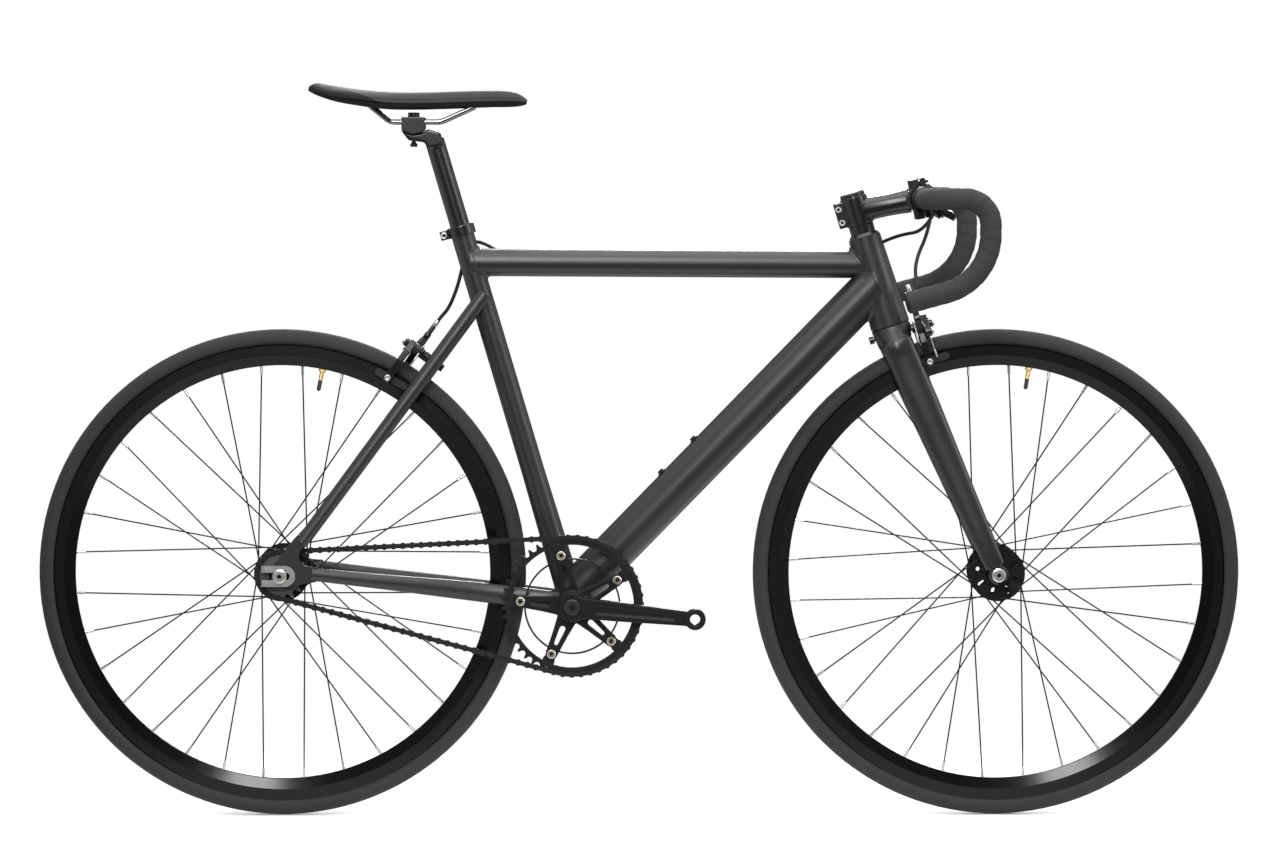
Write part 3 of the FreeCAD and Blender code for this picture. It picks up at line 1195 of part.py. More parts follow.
f_top = front_caliper.p(-34, -13, front_caliper.a_mid)
f_low = front_caliper.p(-34, 9, front_caliper.b_mid)
f_up = f_top + STEER * 8.0
front_start = lever_point(1, LEVER_Y - 17, LEVER_OUT - 8, 0) - Y * 3 + away * 0.2
front_run = cable([front_start, BAR + V(11.5, 12, -45.2), BAR + V(-9.5, -2, -89.2),
                   BAR + V(-7.5, -26, -122.2), f_up + STEER * 30, f_up + STEER * 17])
f_adjust = fuse(cyl(f_up + STEER * 17, f_up + STEER * 0.0, 3.6), cyl(f_up + STEER * 0.0, f_up - STEER * 1.4, 4.6))
node("front_brake_cable", fuse(front_run, f_adjust))
r_top = rear_caliper.p(-34, -13, rear_caliper.a_mid)
r_up = r_top - REAR_V * 8.0
rear_start = lever_point(-1, LEVER_Y - 17, LEVER_OUT - 8, 0) + Y * 3 + away * 0.2
top_entry = front_top + V(-60.8, TOP_TUBE_R - 1, 2.5)
rear_front_run = cable([rear_start, BAR + V(5.5, -16, -45.2), BAR + V(-30.5, 22, -51.2),
                        BAR + V(-68.5, 36, -69.2), top_entry])
rear_front_run = rear_front_run.cut(cyl(rear_top, front_top, TOP_TUBE_R + 0.05))
top_exit = rear_top + V(33.45, 6, TOP_TUBE_R - 2)
rear_back_run = cable([top_exit, rear_top + V(17.45, 10, 28.5), rear_top + V(-6.55, 26, 27.5),
                       rear_top + V(-15.55, 28, -23.5), rear_top + V(-30.55, 32, -63.5),
                       r_up - REAR_V * 32, r_up - REAR_V * 17])
rear_back_run = rear_back_run.cut(cyl(rear_top, front_top, TOP_TUBE_R + 0.05))
r_adjust = fuse(cyl(r_up - REAR_V * 17, r_up, 3.6), cyl(r_up, r_up + REAR_V * 1.4, 4.6))
node("rear_brake_cable", max(rear_front_run.Solids, key=lambda s: s.Volume),
     fuse(max(rear_back_run.Solids, key=lambda s: s.Volume), r_adjust))
down_normal = V(-down_dir.z, 0, down_dir.x)
screws = []
for t in (-5.5, -5.5 + CAGE_SPACING):
    foot = down_mid + down_dir * t + down_normal * (DOWN_TUBE_R - 0.3)
    down_tube = down_tube.cut(cyl(foot - down_normal * 6, foot + down_normal * 4, 2.6))
    washer = cyl(foot + down_normal * 0.35, foot + down_normal * 1.6, 6.4)
    head = cyl(foot + down_normal * 1.4, foot + down_normal * 4.6, 4.3)
    head = head.cut(cyl(foot + down_normal * 3.0, foot + down_normal * 6, 2.0))
    screws.append(fuse(washer, head, cyl(foot + down_normal * 1.5, foot - down_normal * 6, 2.5)))
node("down_tube", down_tube)
node("bottle_bolts", *screws)

os.makedirs("parts", exist_ok=True)
for name, solids in NODES.items():
    shape = solids[0] if len(solids) == 1 else Part.makeCompound(solids)
    shape.exportStep("parts/" + name + ".step")
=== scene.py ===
import bpy
import bmesh
import math
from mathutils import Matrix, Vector


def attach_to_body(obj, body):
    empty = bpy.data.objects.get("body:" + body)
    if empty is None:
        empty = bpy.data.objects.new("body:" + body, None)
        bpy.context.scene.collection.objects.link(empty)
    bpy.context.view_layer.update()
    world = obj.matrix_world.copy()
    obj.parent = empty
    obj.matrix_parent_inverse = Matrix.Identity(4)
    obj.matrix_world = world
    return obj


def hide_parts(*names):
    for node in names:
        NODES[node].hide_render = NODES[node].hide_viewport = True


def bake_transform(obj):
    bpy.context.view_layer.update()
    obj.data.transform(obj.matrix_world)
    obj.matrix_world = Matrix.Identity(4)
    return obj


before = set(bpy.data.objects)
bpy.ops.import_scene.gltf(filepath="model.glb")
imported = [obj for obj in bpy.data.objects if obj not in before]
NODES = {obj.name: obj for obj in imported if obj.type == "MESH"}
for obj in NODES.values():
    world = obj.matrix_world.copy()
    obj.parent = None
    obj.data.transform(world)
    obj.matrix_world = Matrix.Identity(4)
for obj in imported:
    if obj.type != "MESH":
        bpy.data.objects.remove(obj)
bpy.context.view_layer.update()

# Sizes, places and directions in metres, in the frame of the solids.
WHEEL_X = 0.4954
WHEEL_Z = 0.338
BAR = Vector((0.3905, 0.0, 0.8572))
BAR_HALF = 0.210
BAR_REACH = 0.0793
BAR_BENDS = (0.042, 0.0343, 0.080)
GRIP_END = Vector((0.3605, -0.210, 0.7182))
GRIP_SLOPE = math.radians(15.2)
TAPE_FROM = 0.072
TAPE_R = 0.0148
CABLE_D = 0.005
SADDLE = [(-.455, .046, 1.0118, 1.0007), (-.449, .058, 1.0148, .9968), (-.442, .064, 1.0158, .9939),
          (-.425, .070, 1.0128, .9881), (-.395, .068, 1.0082, .9851), (-.360, .054, 1.0045, .9810),
          (-.325, .038, 1.0030, .9795), (-.285, .028, 1.0034, .9800), (-.240, .0225, 1.0050, .9815),
          (-.195, .0195, 1.0055, .9830), (-.176, .0178, 1.0040, .9838), (-.164, .0150, 1.0000, .9850),
          (-.156, .0100, .9940, .9870)]
SEAM = 0.3
WING_TAIL = Vector((-0.449, 0.0, 1.0148))
SHELL = Vector((-0.093017, 0.0, 0.2944))
HEAD = Vector((0.3476, 0.0, 0.6812))
STEER = Vector((-0.282341, 0.0, 0.959314))
AHEAD = Vector((STEER.z, 0.0, -STEER.x))
SEAT_AXIS = Vector((-0.284015, 0.0, 0.95882))
SEAT_FORE = Vector((SEAT_AXIS.z, 0.0, -SEAT_AXIS.x))
DOWN_REAR = Vector((-0.587459, 0.0, -0.809254))
REAR_BACK = Vector((DOWN_REAR.z, 0.0, -DOWN_REAR.x))
STEM_DIR = Vector((0.98097, 0.0, 0.19417))
STEM_UP = Vector((-STEM_DIR.z, 0.0, STEM_DIR.x))
SIDEWAYS = Vector((0.0, 1.0, 0.0))
NEAR, FAR = -SIDEWAYS, SIDEWAYS
TOP_TUBE_R = 0.0191
DOWN_TUBE_R = 0.0290
SEAT_TUBE_R = 0.0159
MERGE = 1e-6

# Where finishes change: distances from the wheel's axle, the middle plane or the crank's axle, and places on
# the saddle.
TRACK_FROM, TRACK_TO = (0.3015, 0.3030), (0.3150, 0.3160)
SHOULDER_R, SHOULDER_SIDE = (0.3245, 0.3270), (0.0040, 0.0052)
WALL_LINE_R = 0.3215
TREAD_R = (0.3330, 0.3375)
NIPPLE_R = 0.2755
VALVE_FROM, VALVE_TO = 0.2722, 0.2895
STUD_SIDE = 0.0190
CRANK_CAP_R = 0.020
SADDLE_TOP = (0.9990, 1.0060)
WING_SLOPE, WING_CURVE = 0.10, 1.9
WING_EDGE, WING_FRONT = (-0.0004, 0.0004), (-0.330, -0.322)


# Shader maths: a wrapped socket, a graph of nodes, and a finish that owns one material.
class Wire:
    def __init__(self, graph, socket):
        self.graph = graph
        self.socket = socket

    def math(self, operation, other=None, flip=False):
        values = {0: self}
        if other is not None:
            values = {0: other, 1: self} if flip else {0: self, 1: other}
        return self.graph.node("ShaderNodeMath", {"operation": operation}, values)

    def __add__(self, other):
        return self.math("ADD", other)

    def __radd__(self, other):
        return self.math("ADD", other)

    def __sub__(self, other):
        return self.math("SUBTRACT", other)

    def __rsub__(self, other):
        return self.math("SUBTRACT", other, True)

    def __mul__(self, other):
        return self.math("MULTIPLY", other)

    def __rmul__(self, other):
        return self.math("MULTIPLY", other)

    def __truediv__(self, other):
        return self.math("DIVIDE", other)

    def __pow__(self, other):
        return self.math("POWER", other)

    def __gt__(self, other):
        return self.math("GREATER_THAN", other)

    def __lt__(self, other):
        return self.math("LESS_THAN", other)


class Graph:
    """A shader tree. Fixed numbers go on the sockets, wires are linked to them."""

    def __init__(self, tree):
        self.tree = tree
        self.coord = tree.nodes.new("ShaderNodeTexCoord")

    def node(self, kind, settings=None, values=None):
        made = self.tree.nodes.new(kind)
        for key, value in (settings or {}).items():
            setattr(made, key, value)
        for key, value in (values or {}).items():
            self.feed(made.inputs[key], value)
        return Wire(self, made.outputs[0])

    def feed(self, socket, value):
        if isinstance(value, Wire):
            self.tree.links.new(value.socket, socket)
        else:
            socket.default_value = value

    def place(self, scale=(1, 1, 1)):
        spot = Wire(self, self.coord.outputs["Object"])
        return self.node("ShaderNodeMapping", {}, {"Vector": spot, "Scale": scale})

    def axes(self, space="Object"):
        spot = Wire(self, self.coord.outputs[space])
        split = self.node("ShaderNodeSeparateXYZ", {}, {0: spot})
        outs = split.socket.node.outputs
        return [Wire(self, outs[k]) for k in range(3)]

    def noise(self, scale, detail=3.0, stretch=(1, 1, 1)):
        return self.node("ShaderNodeTexNoise", {}, {"Vector": self.place(stretch), "Scale": scale,
                                                   "Detail": detail, "Roughness": 0.55})

    def cells(self, scale):
        return self.node("ShaderNodeTexVoronoi", {}, {"Vector": self.place(), "Scale": scale})

    def blend(self, amount, low, high):
        made = self.node("ShaderNodeMix", {"data_type": "RGBA"}, {})
        mix = made.socket.node
        for key, value in ((0, amount), (6, low), (7, high)):
            if isinstance(value, Wire) or key == 0:
                self.feed(mix.inputs[key], value)
            else:
                mix.inputs[key].default_value = (*value, 1.0)
        return Wire(self, mix.outputs[2])

    def step(self, value, low, high):
        return self.node("ShaderNodeMapRange", {"interpolation_type": "SMOOTHSTEP"},
                         {0: value, 1: low, 2: high, 3: 0.0, 4: 1.0})

    def bump(self, height, strength, distance):
        return self.node("ShaderNodeBump", {}, {"Height": height, "Strength": strength,
                                               "Distance": distance})


class Finish(Graph):
    """One material and its main shader."""

    def __init__(self, name):
        self.material = bpy.data.materials.new(name)
        self.material.use_nodes = True
        super().__init__(self.material.node_tree)
        self.shader = self.tree.nodes["Principled BSDF"]

    def wheel_radius(self):
        """Distance from the nearer wheel's axle, seen from the side."""
        x, y, z = self.axes()
        across = x.math("ABSOLUTE") - WHEEL_X
        up = z - WHEEL_Z
        return (across * across + up * up).math("SQRT")

    def set(self, **sockets):
        for key, value in sockets.items():
            socket = self.shader.inputs[key.replace("_", " ")]
            if isinstance(value, tuple):
                value = (*value, 1.0)
            self.feed(socket, value)
        return self.material


def painted(name, rough):
    """Sprayed charcoal: slow tone changes, a fine orange peel and dust that dulls it a little."""
    f = Finish(name)
    color = f.blend(f.noise(9.0, 4.0), (0.0080, 0.0083, 0.0096), (0.0112, 0.0116, 0.0132))
    peel = f.noise(1500.0, 2.0)
    return f.set(Base_Color=color, Roughness=rough + 0.10 * f.noise(60.0, 5.0), Coat_Weight=0.06,
                 Coat_Roughness=0.22, Specular_IOR_Level=0.45, Normal=f.bump(peel, 0.02, 0.00006))


def anodised(name, low, high, rough, coat, shine=0.4):
    """Polished and dyed alloy with faint handling marks."""
    f = Finish(name)
    marks = f.noise(60.0, 4.0, (1, 1, 0.25))
    return f.set(Base_Color=f.blend(f.noise(22.0), low, high), Roughness=rough + 0.06 * marks,
                 Coat_Weight=coat, Coat_Roughness=0.12, Specular_IOR_Level=shine)


def steel(name, low, high, rough, scale=420.0):
    """Plain or plated steel with turned lines and darker spots."""
    f = Finish(name)
    lines = f.noise(scale, 5.0, (1, 0.2, 1))
    return f.set(Base_Color=f.blend(f.noise(70.0, 5.0), low, high), Roughness=rough + 0.2 * lines,
                 Metallic=1.0, Normal=f.bump(lines, 0.12, 0.0002))


def moulded(name, low, high, rough):
    """Plastic with a spark-eroded grain."""
    f = Finish(name)
    pits = f.noise(900.0, 3.0)
    return f.set(Base_Color=f.blend(f.noise(30.0), low, high), Roughness=rough + 0.12 * pits,
                 Specular_IOR_Level=0.12, Normal=f.bump(pits, 0.2, 0.0003))


def rim_finish():
    """Gloss black rim with a duller brake track and fine turned rings."""
    f = Finish("deep_rim_black")
    r = f.wheel_radius()
    track = f.step(r, *TRACK_FROM) * (1.0 - f.step(r, *TRACK_TO))
    rings = (r * 9000.0).math("SINE")
    color = f.blend(track, (0.0016, 0.0016, 0.0017), (0.0036, 0.0036, 0.0038))
    return f.set(Base_Color=color, Roughness=0.13 + 0.16 * track + 0.05 * f.noise(90.0, 5.0),
                 Coat_Weight=0.04, Coat_Roughness=0.1, Specular_IOR_Level=0.2,
                 Normal=f.bump(rings * track, 0.06, 0.0002))


def tyre_finish():
    """Road tyre: slick centre, fine file tread on the shoulders, moulded lines on the wall."""
    f = Finish("road_tyre_rubber")
    x, y, z = f.axes()
    r = f.wheel_radius()
    angle = (z - WHEEL_Z).math("ARCTAN2", x.math("ABSOLUTE") - WHEEL_X)
    side = y.math("ABSOLUTE")
    shoulder = f.step(r, *SHOULDER_R) * f.step(side, *SHOULDER_SIDE)
    file_lines = ((angle * 420.0 + side * 900.0).math("SINE") > 0.1) * shoulder
    wall_ring = f.step((r - WALL_LINE_R).math("ABSOLUTE"), 0.0007, 0.0003)
    centre = f.step(r, *TREAD_R)
    dust = f.noise(45.0, 6.0)
    grey = f.blend(dust, (0.018, 0.018, 0.0185), (0.029, 0.029, 0.0295))
    worn = f.blend(centre * 0.55, grey, (0.034, 0.0335, 0.033))
    height = file_lines * -0.6 + wall_ring * 0.8 + f.noise(1400.0) * 0.25
    return f.set(Base_Color=worn, Roughness=0.62 + 0.18 * dust, Specular_IOR_Level=0.2,
                 Normal=f.bump(height, 0.5, 0.0004))


def spoke_finish():
    """Dark drawn spokes with plated nipples at the rim."""
    f = Finish("dark_spoke_wire")
    nipple = f.wheel_radius() > NIPPLE_R
    drawn = f.noise(500.0, 4.0)
    color = f.blend(nipple, (0.024, 0.023, 0.024), (0.46, 0.46, 0.47))
    return f.set(Base_Color=color, Metallic=1.0, Roughness=0.30 + 0.16 * drawn - nipple * 0.06)


def valve_finish():
    """Inner tube rubber with a brass stem and a black dust cap."""
    f = Finish("valve_brass")
    r = f.wheel_radius()
    brass = (r < VALVE_TO) * (r > VALVE_FROM)
    threads = (r * 12000.0).math("SINE") * brass
    color = f.blend(brass, (0.018, 0.018, 0.018), (0.62, 0.46, 0.20))
    return f.set(Base_Color=color, Metallic=brass, Roughness=0.5 - 0.2 * brass + 0.1 * f.noise(200.0),
                 Normal=f.bump(threads, 0.4, 0.0004))


def pad_finish():
    """Brake block rubber with dark studs at its back."""
    f = Finish("brake_block_rubber")
    x, y, z = f.axes()
    stud = y.math("ABSOLUTE") > STUD_SIDE
    pits = f.noise(800.0)
    color = f.blend(stud, (0.009, 0.009, 0.0095), (0.060, 0.060, 0.062))
    return f.set(Base_Color=color, Metallic=stud, Roughness=0.72 - 0.38 * stud + 0.1 * pits,
                 Normal=f.bump(pits, 0.25, 0.0003))


def cover_finish():
    """Synthetic leather: a pebbled grain with soft creases and a slight polish on the top."""
    f = Finish("saddle_cover_leather")
    grain = f.cells(620.0)
    crease = f.noise(70.0, 6.0)
    x, y, z = f.axes()
    polish = f.step(z, *SADDLE_TOP)
    color = f.blend(crease, (0.036, 0.036, 0.037), (0.050, 0.050, 0.0515))
    # The smooth wing panels run from the top of the tail down to the skirt.
    forward = x - WING_TAIL.x
    above = z + WING_SLOPE * forward + WING_CURVE * forward * forward - WING_TAIL.z
    wing = f.step(0.0 - above, *WING_EDGE) * (1.0 - f.step(x, *WING_FRONT))
    color = f.blend(wing, color, (0.014, 0.0135, 0.0145))
    return f.set(Base_Color=color, Roughness=0.66 - 0.14 * polish + 0.12 * crease,
                 Specular_IOR_Level=0.05, Normal=f.bump(grain * 0.8 + crease * 0.5, 0.35, 0.0005))


def tape_finish():
    """Cork bar tape: fine granules, darker seams come from the wrap itself."""
    f = Finish("cork_bar_tape")
    granule = f.cells(1100.0)
    cloud = f.noise(160.0, 5.0)
    color = f.blend(cloud, (0.025, 0.0235, 0.0240), (0.042, 0.0395, 0.0405))
    return f.set(Base_Color=color, Roughness=0.80 + 0.12 * cloud, Specular_IOR_Level=0.25,
                 Normal=f.bump(granule + cloud * 0.5, 0.4, 0.0004))


def housing_finish():
    """Black cable housing with a light polish."""
    f = Finish("cable_housing_black")
    rub = f.noise(140.0, 5.0)
    return f.set(Base_Color=f.blend(rub, (0.006, 0.006, 0.0063), (0.014, 0.014, 0.015)),
                 Roughness=0.34 + 0.18 * rub, Specular_IOR_Level=0.25,
                 Normal=f.bump(f.noise(900.0), 0.08, 0.0002))


def ring_bolt_finish():
    """Bright ring bolts, with dark caps on the crank axle."""
    f = Finish("ring_bolt_steel")
    x, y, z = f.axes()
    across, up = x - SHELL.x, z - SHELL.z
    cap = (across * across + up * up).math("SQRT") < CRANK_CAP_R
    lines = f.noise(420.0, 5.0)
    color = f.blend(cap, (0.58, 0.54, 0.47), (0.016, 0.016, 0.017))
    return f.set(Base_Color=color, Metallic=1.0 - cap, Roughness=0.20 + 0.16 * lines,
                 Normal=f.bump(lines, 0.1, 0.0002))


satin_frame = painted("satin_charcoal_frame", 0.36)
satin_fork = painted("satin_charcoal_fork", 0.34)
BLACK, BLACK_HIGH = (0.0050, 0.0050, 0.0053), (0.0085, 0.0085, 0.0090)
gloss_alloy = anodised("gloss_black_alloy", BLACK, BLACK_HIGH, 0.26, 0.05)
crank_black = anodised("satin_black_crank", (0.0045, 0.0045, 0.0048), (0.0075, 0.0075, 0.0079), 0.42, 0.0,
                       shine=0.14)
brake_black = anodised("gloss_black_brake", BLACK, BLACK_HIGH, 0.26, 0.05)
hub_black = anodised("gloss_black_hub", (0.0060, 0.0060, 0.0064), (0.0105, 0.0105, 0.0110), 0.18, 0.15)
ring_black = anodised("satin_black_ring", BLACK, (0.0090, 0.0090, 0.0094), 0.28, 0.05)
bright_steel = steel("bright_zinc_steel", (0.42, 0.41, 0.40), (0.58, 0.57, 0.55), 0.26)
bearing_steel = steel("ground_bearing_steel", (0.30, 0.30, 0.31), (0.44, 0.44, 0.45), 0.24)
cog_steel = steel("cut_cog_steel", (0.085, 0.082, 0.080), (0.150, 0.145, 0.140), 0.34, 260.0)
chain_steel = steel("oiled_chain_steel", (0.020, 0.0195, 0.0195), (0.050, 0.049, 0.048), 0.32, 700.0)
rail_chrome = steel("chromed_rail", (0.13, 0.13, 0.135), (0.20, 0.20, 0.205), 0.10)
base_plastic = moulded("saddle_base_plastic", (0.006, 0.006, 0.0063), (0.011, 0.011, 0.0115), 0.70)
plug_plastic = moulded("bar_plug_plastic", (0.008, 0.008, 0.0085), (0.015, 0.015, 0.016), 0.40)
# Painted shade: near-black for the thin hexagons that stand in for the dark inside of bolt sockets.
painted_socket_shade = moulded("painted_socket_shade", (0.004, 0.004, 0.004), (0.007, 0.007, 0.007), 0.6)
ring_bolt = ring_bolt_finish()
rim_black = rim_finish()
tyre_rubber = tyre_finish()
spoke_wire = spoke_finish()
valve_brass = valve_finish()
block_rubber = pad_finish()
cover_leather = cover_finish()
bar_cork = tape_finish()
housing_black = housing_finish()

COATS = {
    satin_frame: ("head_tube", "top_tube", "down_tube", "seat_tube", "bottom_bracket_shell", "chainstays",
                  "seatstays", "track_dropouts"),
    satin_fork: ("fork",),
    crank_black: ("right_crank", "left_crank"),
    gloss_alloy: ("seatpost", "stem", "stem_faceplate", "handlebar", "seat_collar", "headset_stack",
                  "saddle_clamp"),
    brake_black: ("front_brake_arm_right", "front_brake_arm_left", "rear_brake_arm_left",
                  "rear_brake_arm_right", "front_brake_lever", "rear_brake_lever", "lever_clamps",
                  "front_brake_pivot_bolt", "rear_brake_pivot_bolt", "bottle_bolts"),
    hub_black: ("front_hub", "rear_hub"),
    ring_black: ("chainring",),
    bright_steel: ("dropout_plates", "front_axle", "rear_axle", "stem_bolts"),
    ring_bolt: ("crank_fasteners",),
    bearing_steel: ("headset_bearings", "bottom_bracket_cups", "bb_spindle"),
    cog_steel: ("rear_cog",),
    chain_steel: ("chain",),
    rail_chrome: ("saddle_rails",),
    base_plastic: ("saddle_shell",),
    cover_leather: ("saddle_pad",),
    plug_plastic: ("bar_end_plugs",),
    rim_black: ("front_rim", "rear_rim"),
    tyre_rubber: ("front_tyre", "rear_tyre"),
    spoke_wire: ("front_spokes", "rear_spokes"),
    valve_brass: ("front_inner_tube", "rear_inner_tube"),
    block_rubber: ("front_brake_pad_right", "front_brake_pad_left", "rear_brake_pad_left",
                   "rear_brake_pad_right"),
    bar_cork: ("bar_tape",),
    housing_black: ("front_brake_cable", "rear_brake_cable"),
}
for coat, names in COATS.items():
    for name in names:
        solid = NODES[name]
        if not solid.material_slots:
            solid.data.materials.append(coat)
        for holder in solid.material_slots:
            holder.material = coat


# Geometry Nodes: a small builder for the trees that repeat or follow a path.
class Grower:
    def __init__(self, name, **sizes):
        self.tree = bpy.data.node_groups.new(name, "GeometryNodeTree")
        face = self.tree.interface
        face.new_socket("Geometry", in_out="INPUT", socket_type="NodeSocketGeometry")
        self.keys = {}
        for key, value in sizes.items():
            made = face.new_socket(key, in_out="INPUT", socket_type="NodeSocketFloat")
            made.default_value = value
            self.keys[key] = (made.identifier, value)
        face.new_socket("Geometry", in_out="OUTPUT", socket_type="NodeSocketGeometry")
        self.start = self.tree.nodes.new("NodeGroupInput")
        self.stop = self.tree.nodes.new("NodeGroupOutput")

    def size(self, key):
        return self.start.outputs[key]

    def geometry(self):
        return self.start.outputs["Geometry"]

    def node(self, kind, settings=None, values=None):
        made = self.tree.nodes.new(kind)
        for key, value in (settings or {}).items():
            setattr(made, key, value)
        for key, value in (values or {}).items():
            if isinstance(value, bpy.types.NodeSocket):
                self.tree.links.new(value, made.inputs[key])
            else:
                made.inputs[key].default_value = value
        return made

    def sum(self, operation, a, b=0.0):
        return self.node("ShaderNodeMath", {"operation": operation}, {0: a, 1: b}).outputs[0]

    def end(self, geometry):
        real = self.node("GeometryNodeRealizeInstances", {}, {0: geometry})
        self.tree.links.new(real.outputs[0], self.stop.inputs["Geometry"])

    def grow(self, carrier, name, material):
        """Runs the tree on a carrier object and leaves a plain mesh in its place."""
        mod = carrier.modifiers.new("grow", "NODES")
        mod.node_group = self.tree
        for identifier, value in self.keys.values():
            mod[identifier] = value
        bpy.context.view_layer.update()
        deps = bpy.context.evaluated_depsgraph_get()
        mesh = bpy.data.meshes.new_from_object(carrier.evaluated_get(deps))
        mesh.materials.clear()
        mesh.materials.append(material)
        for poly in mesh.polygons:
            poly.use_smooth = True
        made = bpy.data.objects.new(name, mesh)
        bpy.context.collection.objects.link(made)
        bpy.data.objects.remove(carrier)
        return made


def line_object(name, points):
    """A bare polyline that a tree can work along."""
    curve = bpy.data.curves.new(name, "CURVE")
    curve.dimensions = "3D"
    spline = curve.splines.new("POLY")
    spline.points.add(len(points) - 1)
    for spot, p in zip(spline.points, points):
        spot.co = (*p, 1.0)
    made = bpy.data.objects.new(name, curve)
    bpy.context.collection.objects.link(made)
    return made


def mesh_object(name, verts, faces, material, smooth=True):
    mesh = bpy.data.meshes.new(name)
    mesh.from_pydata([tuple(v) for v in verts], [], faces)
    body = bmesh.new()
    body.from_mesh(mesh)
    bmesh.ops.remove_doubles(body, verts=body.verts, dist=MERGE)
    bmesh.ops.recalc_face_normals(body, faces=body.faces)
    body.to_mesh(mesh)
    body.free()
    for poly in mesh.polygons:
        poly.use_smooth = smooth
    mesh.materials.append(material)
    made = bpy.data.objects.new(name, mesh)
    bpy.context.collection.objects.link(made)
    return made


def side_frame(axis):
    """Two directions square to an axis."""
    axis = Vector(axis).normalized()
    first = axis.orthogonal().normalized()
    return first, axis.cross(first)


def spread(axis, steps):
    """Directions spaced evenly round an axis."""
    u, v = side_frame(axis)
    angles = [2 * math.pi * k / steps for k in range(steps)]
    return [u * math.cos(a) + v * math.sin(a) for a in angles]


def band_faces(steps, rows, closed=False):
    """Faces of a form made of equal columns round an axis."""
    faces = []
    for k in range(steps):
        m = (k + 1) % steps
        for i in range(rows if closed else rows - 1):
            j = (i + 1) % rows
            faces.append((k * rows + i, m * rows + i, m * rows + j, k * rows + j))
    return faces


KNURL_R = 0.003


def turned(name, outline, foot, axis, material, steps=48, knurl=0.0, teeth=0):
    """Turns a (radius, height) outline round an axis, with fine flutes on its wide part if it has teeth."""
    axis = Vector(axis).normalized()
    verts = []
    for k, out in enumerate(spread(axis, steps)):
        for r, h in outline:
            if teeth and r > KNURL_R:
                r = r - knurl * (0.5 + 0.5 * math.cos(2 * math.pi * k / steps * teeth))
            verts.append(Vector(foot) + axis * h + out * r)
    return mesh_object(name, verts, band_faces(steps, len(outline)), material)


def rope(name, points, radius, material, sides=10):
    """A round wire through points."""
    verts, faces = [], []
    n = len(points)
    last = None
    for i, p in enumerate(points):
        d = (Vector(points[min(i + 1, n - 1)]) - Vector(points[max(i - 1, 0)])).normalized()
        if last is None:
            last = d.orthogonal().normalized()
        last = (last - d * last.dot(d)).normalized()
        side = d.cross(last)
        for k in range(sides):
            t = 2 * math.pi * k / sides
            verts.append(Vector(p) + (last * math.cos(t) + side * math.sin(t)) * radius)
    for i in range(n - 1):
        for k in range(sides):
            m = (k + 1) % sides
            j = i + 1
            faces.append((i * sides + k, i * sides + m, j * sides + m, j * sides + k))
    faces.append(tuple(range(sides - 1, -1, -1)))
    faces.append(tuple((n - 1) * sides + k for k in range(sides)))
    return mesh_object(name, verts, faces, material)


def attach(made, body):
    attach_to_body(made, body)


# Forged and cast pieces: the solids' own forms with their edges rounded.
def softened(node, body, slot, grain, rounds, zone=None):
    """A finely meshed copy of a solid, smoothed all over, or mostly inside a height range."""
    solid = NODES[node]
    copy = bpy.data.objects.new(node + "_form", solid.data.copy())
    bpy.context.collection.objects.link(copy)
    work = bmesh.new()
    work.from_mesh(copy.data)
    bmesh.ops.remove_doubles(work, verts=work.verts, dist=MERGE)
    work.to_mesh(copy.data)
    work.free()
    mesher = copy.modifiers.new("mesher", "REMESH")
    mesher.mode = "VOXEL"
    mesher.voxel_size = grain
    deps = bpy.context.evaluated_depsgraph_get()
    mesh = bpy.data.meshes.new_from_object(copy.evaluated_get(deps))
    bpy.data.objects.remove(copy)
    made = bpy.data.objects.new(node + "_form", mesh)
    bpy.context.collection.objects.link(made)
    easing = made.modifiers.new("easing", "SMOOTH")
    easing.factor = 0.5
    easing.iterations = rounds
    if zone:
        low, full, fade, end, least = zone
        group = made.vertex_groups.new(name="zone")
        for v in mesh.vertices:
            share = min((v.co.z - low) / (full - low), (end - v.co.z) / (end - fade))
            group.add([v.index], min(max(share, least), 1.0), "REPLACE")
        easing.vertex_group = "zone"
    deps = bpy.context.evaluated_depsgraph_get()
    done = bpy.data.meshes.new_from_object(made.evaluated_get(deps))
    made.modifiers.clear()
    made.vertex_groups.clear()
    made.data = done
    done.materials.clear()
    done.materials.append(solid.material_slots[0].material)
    for poly in done.polygons:
        poly.use_smooth = True
    attach(made, body)
    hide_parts(node)


# Node, body, slot, mesh size and smoothing rounds. A zone gives the heights where the smoothing starts, is
# full, begins to fade and ends, and the least share of it elsewhere.
SOFTENED = [
    ("stem", "steering", "gloss_black_alloy", 0.0008, 14),
    ("stem_faceplate", "steering", "gloss_black_alloy", 0.0007, 10),
    ("seat_collar", "frame", "gloss_black_alloy", 0.0006, 6),
    ("right_crank", "crankset", "gloss_black_alloy", 0.0010, 9),
    ("left_crank", "crankset", "gloss_black_alloy", 0.0010, 9),
    ("seatpost", "saddle_post", "gloss_black_alloy", 0.0011, 16, (0.918, 0.926, 1.0, 1.1, 0.3)),
    ("saddle_clamp", "saddle_post", "gloss_black_alloy", 0.0006, 6),
    ("front_brake_arm_right", "front_caliper_right", "brake_black", 0.0005, 12),
    ("front_brake_arm_left", "front_caliper_left", "brake_black", 0.0005, 12),
    ("rear_brake_arm_left", "rear_caliper_left", "brake_black", 0.0005, 12),
    ("rear_brake_arm_right", "rear_caliper_right", "brake_black", 0.0005, 12),
    ("front_brake_lever", "front_lever", "brake_black", 0.0005, 8),
    ("rear_brake_lever", "rear_lever", "brake_black", 0.0005, 8),
    ("fork", "steering", "fork_paint", 0.0013, 90, (0.585, 0.615, 0.660, 0.675, 0.06)),
]
for form in SOFTENED:
    softened(*form)


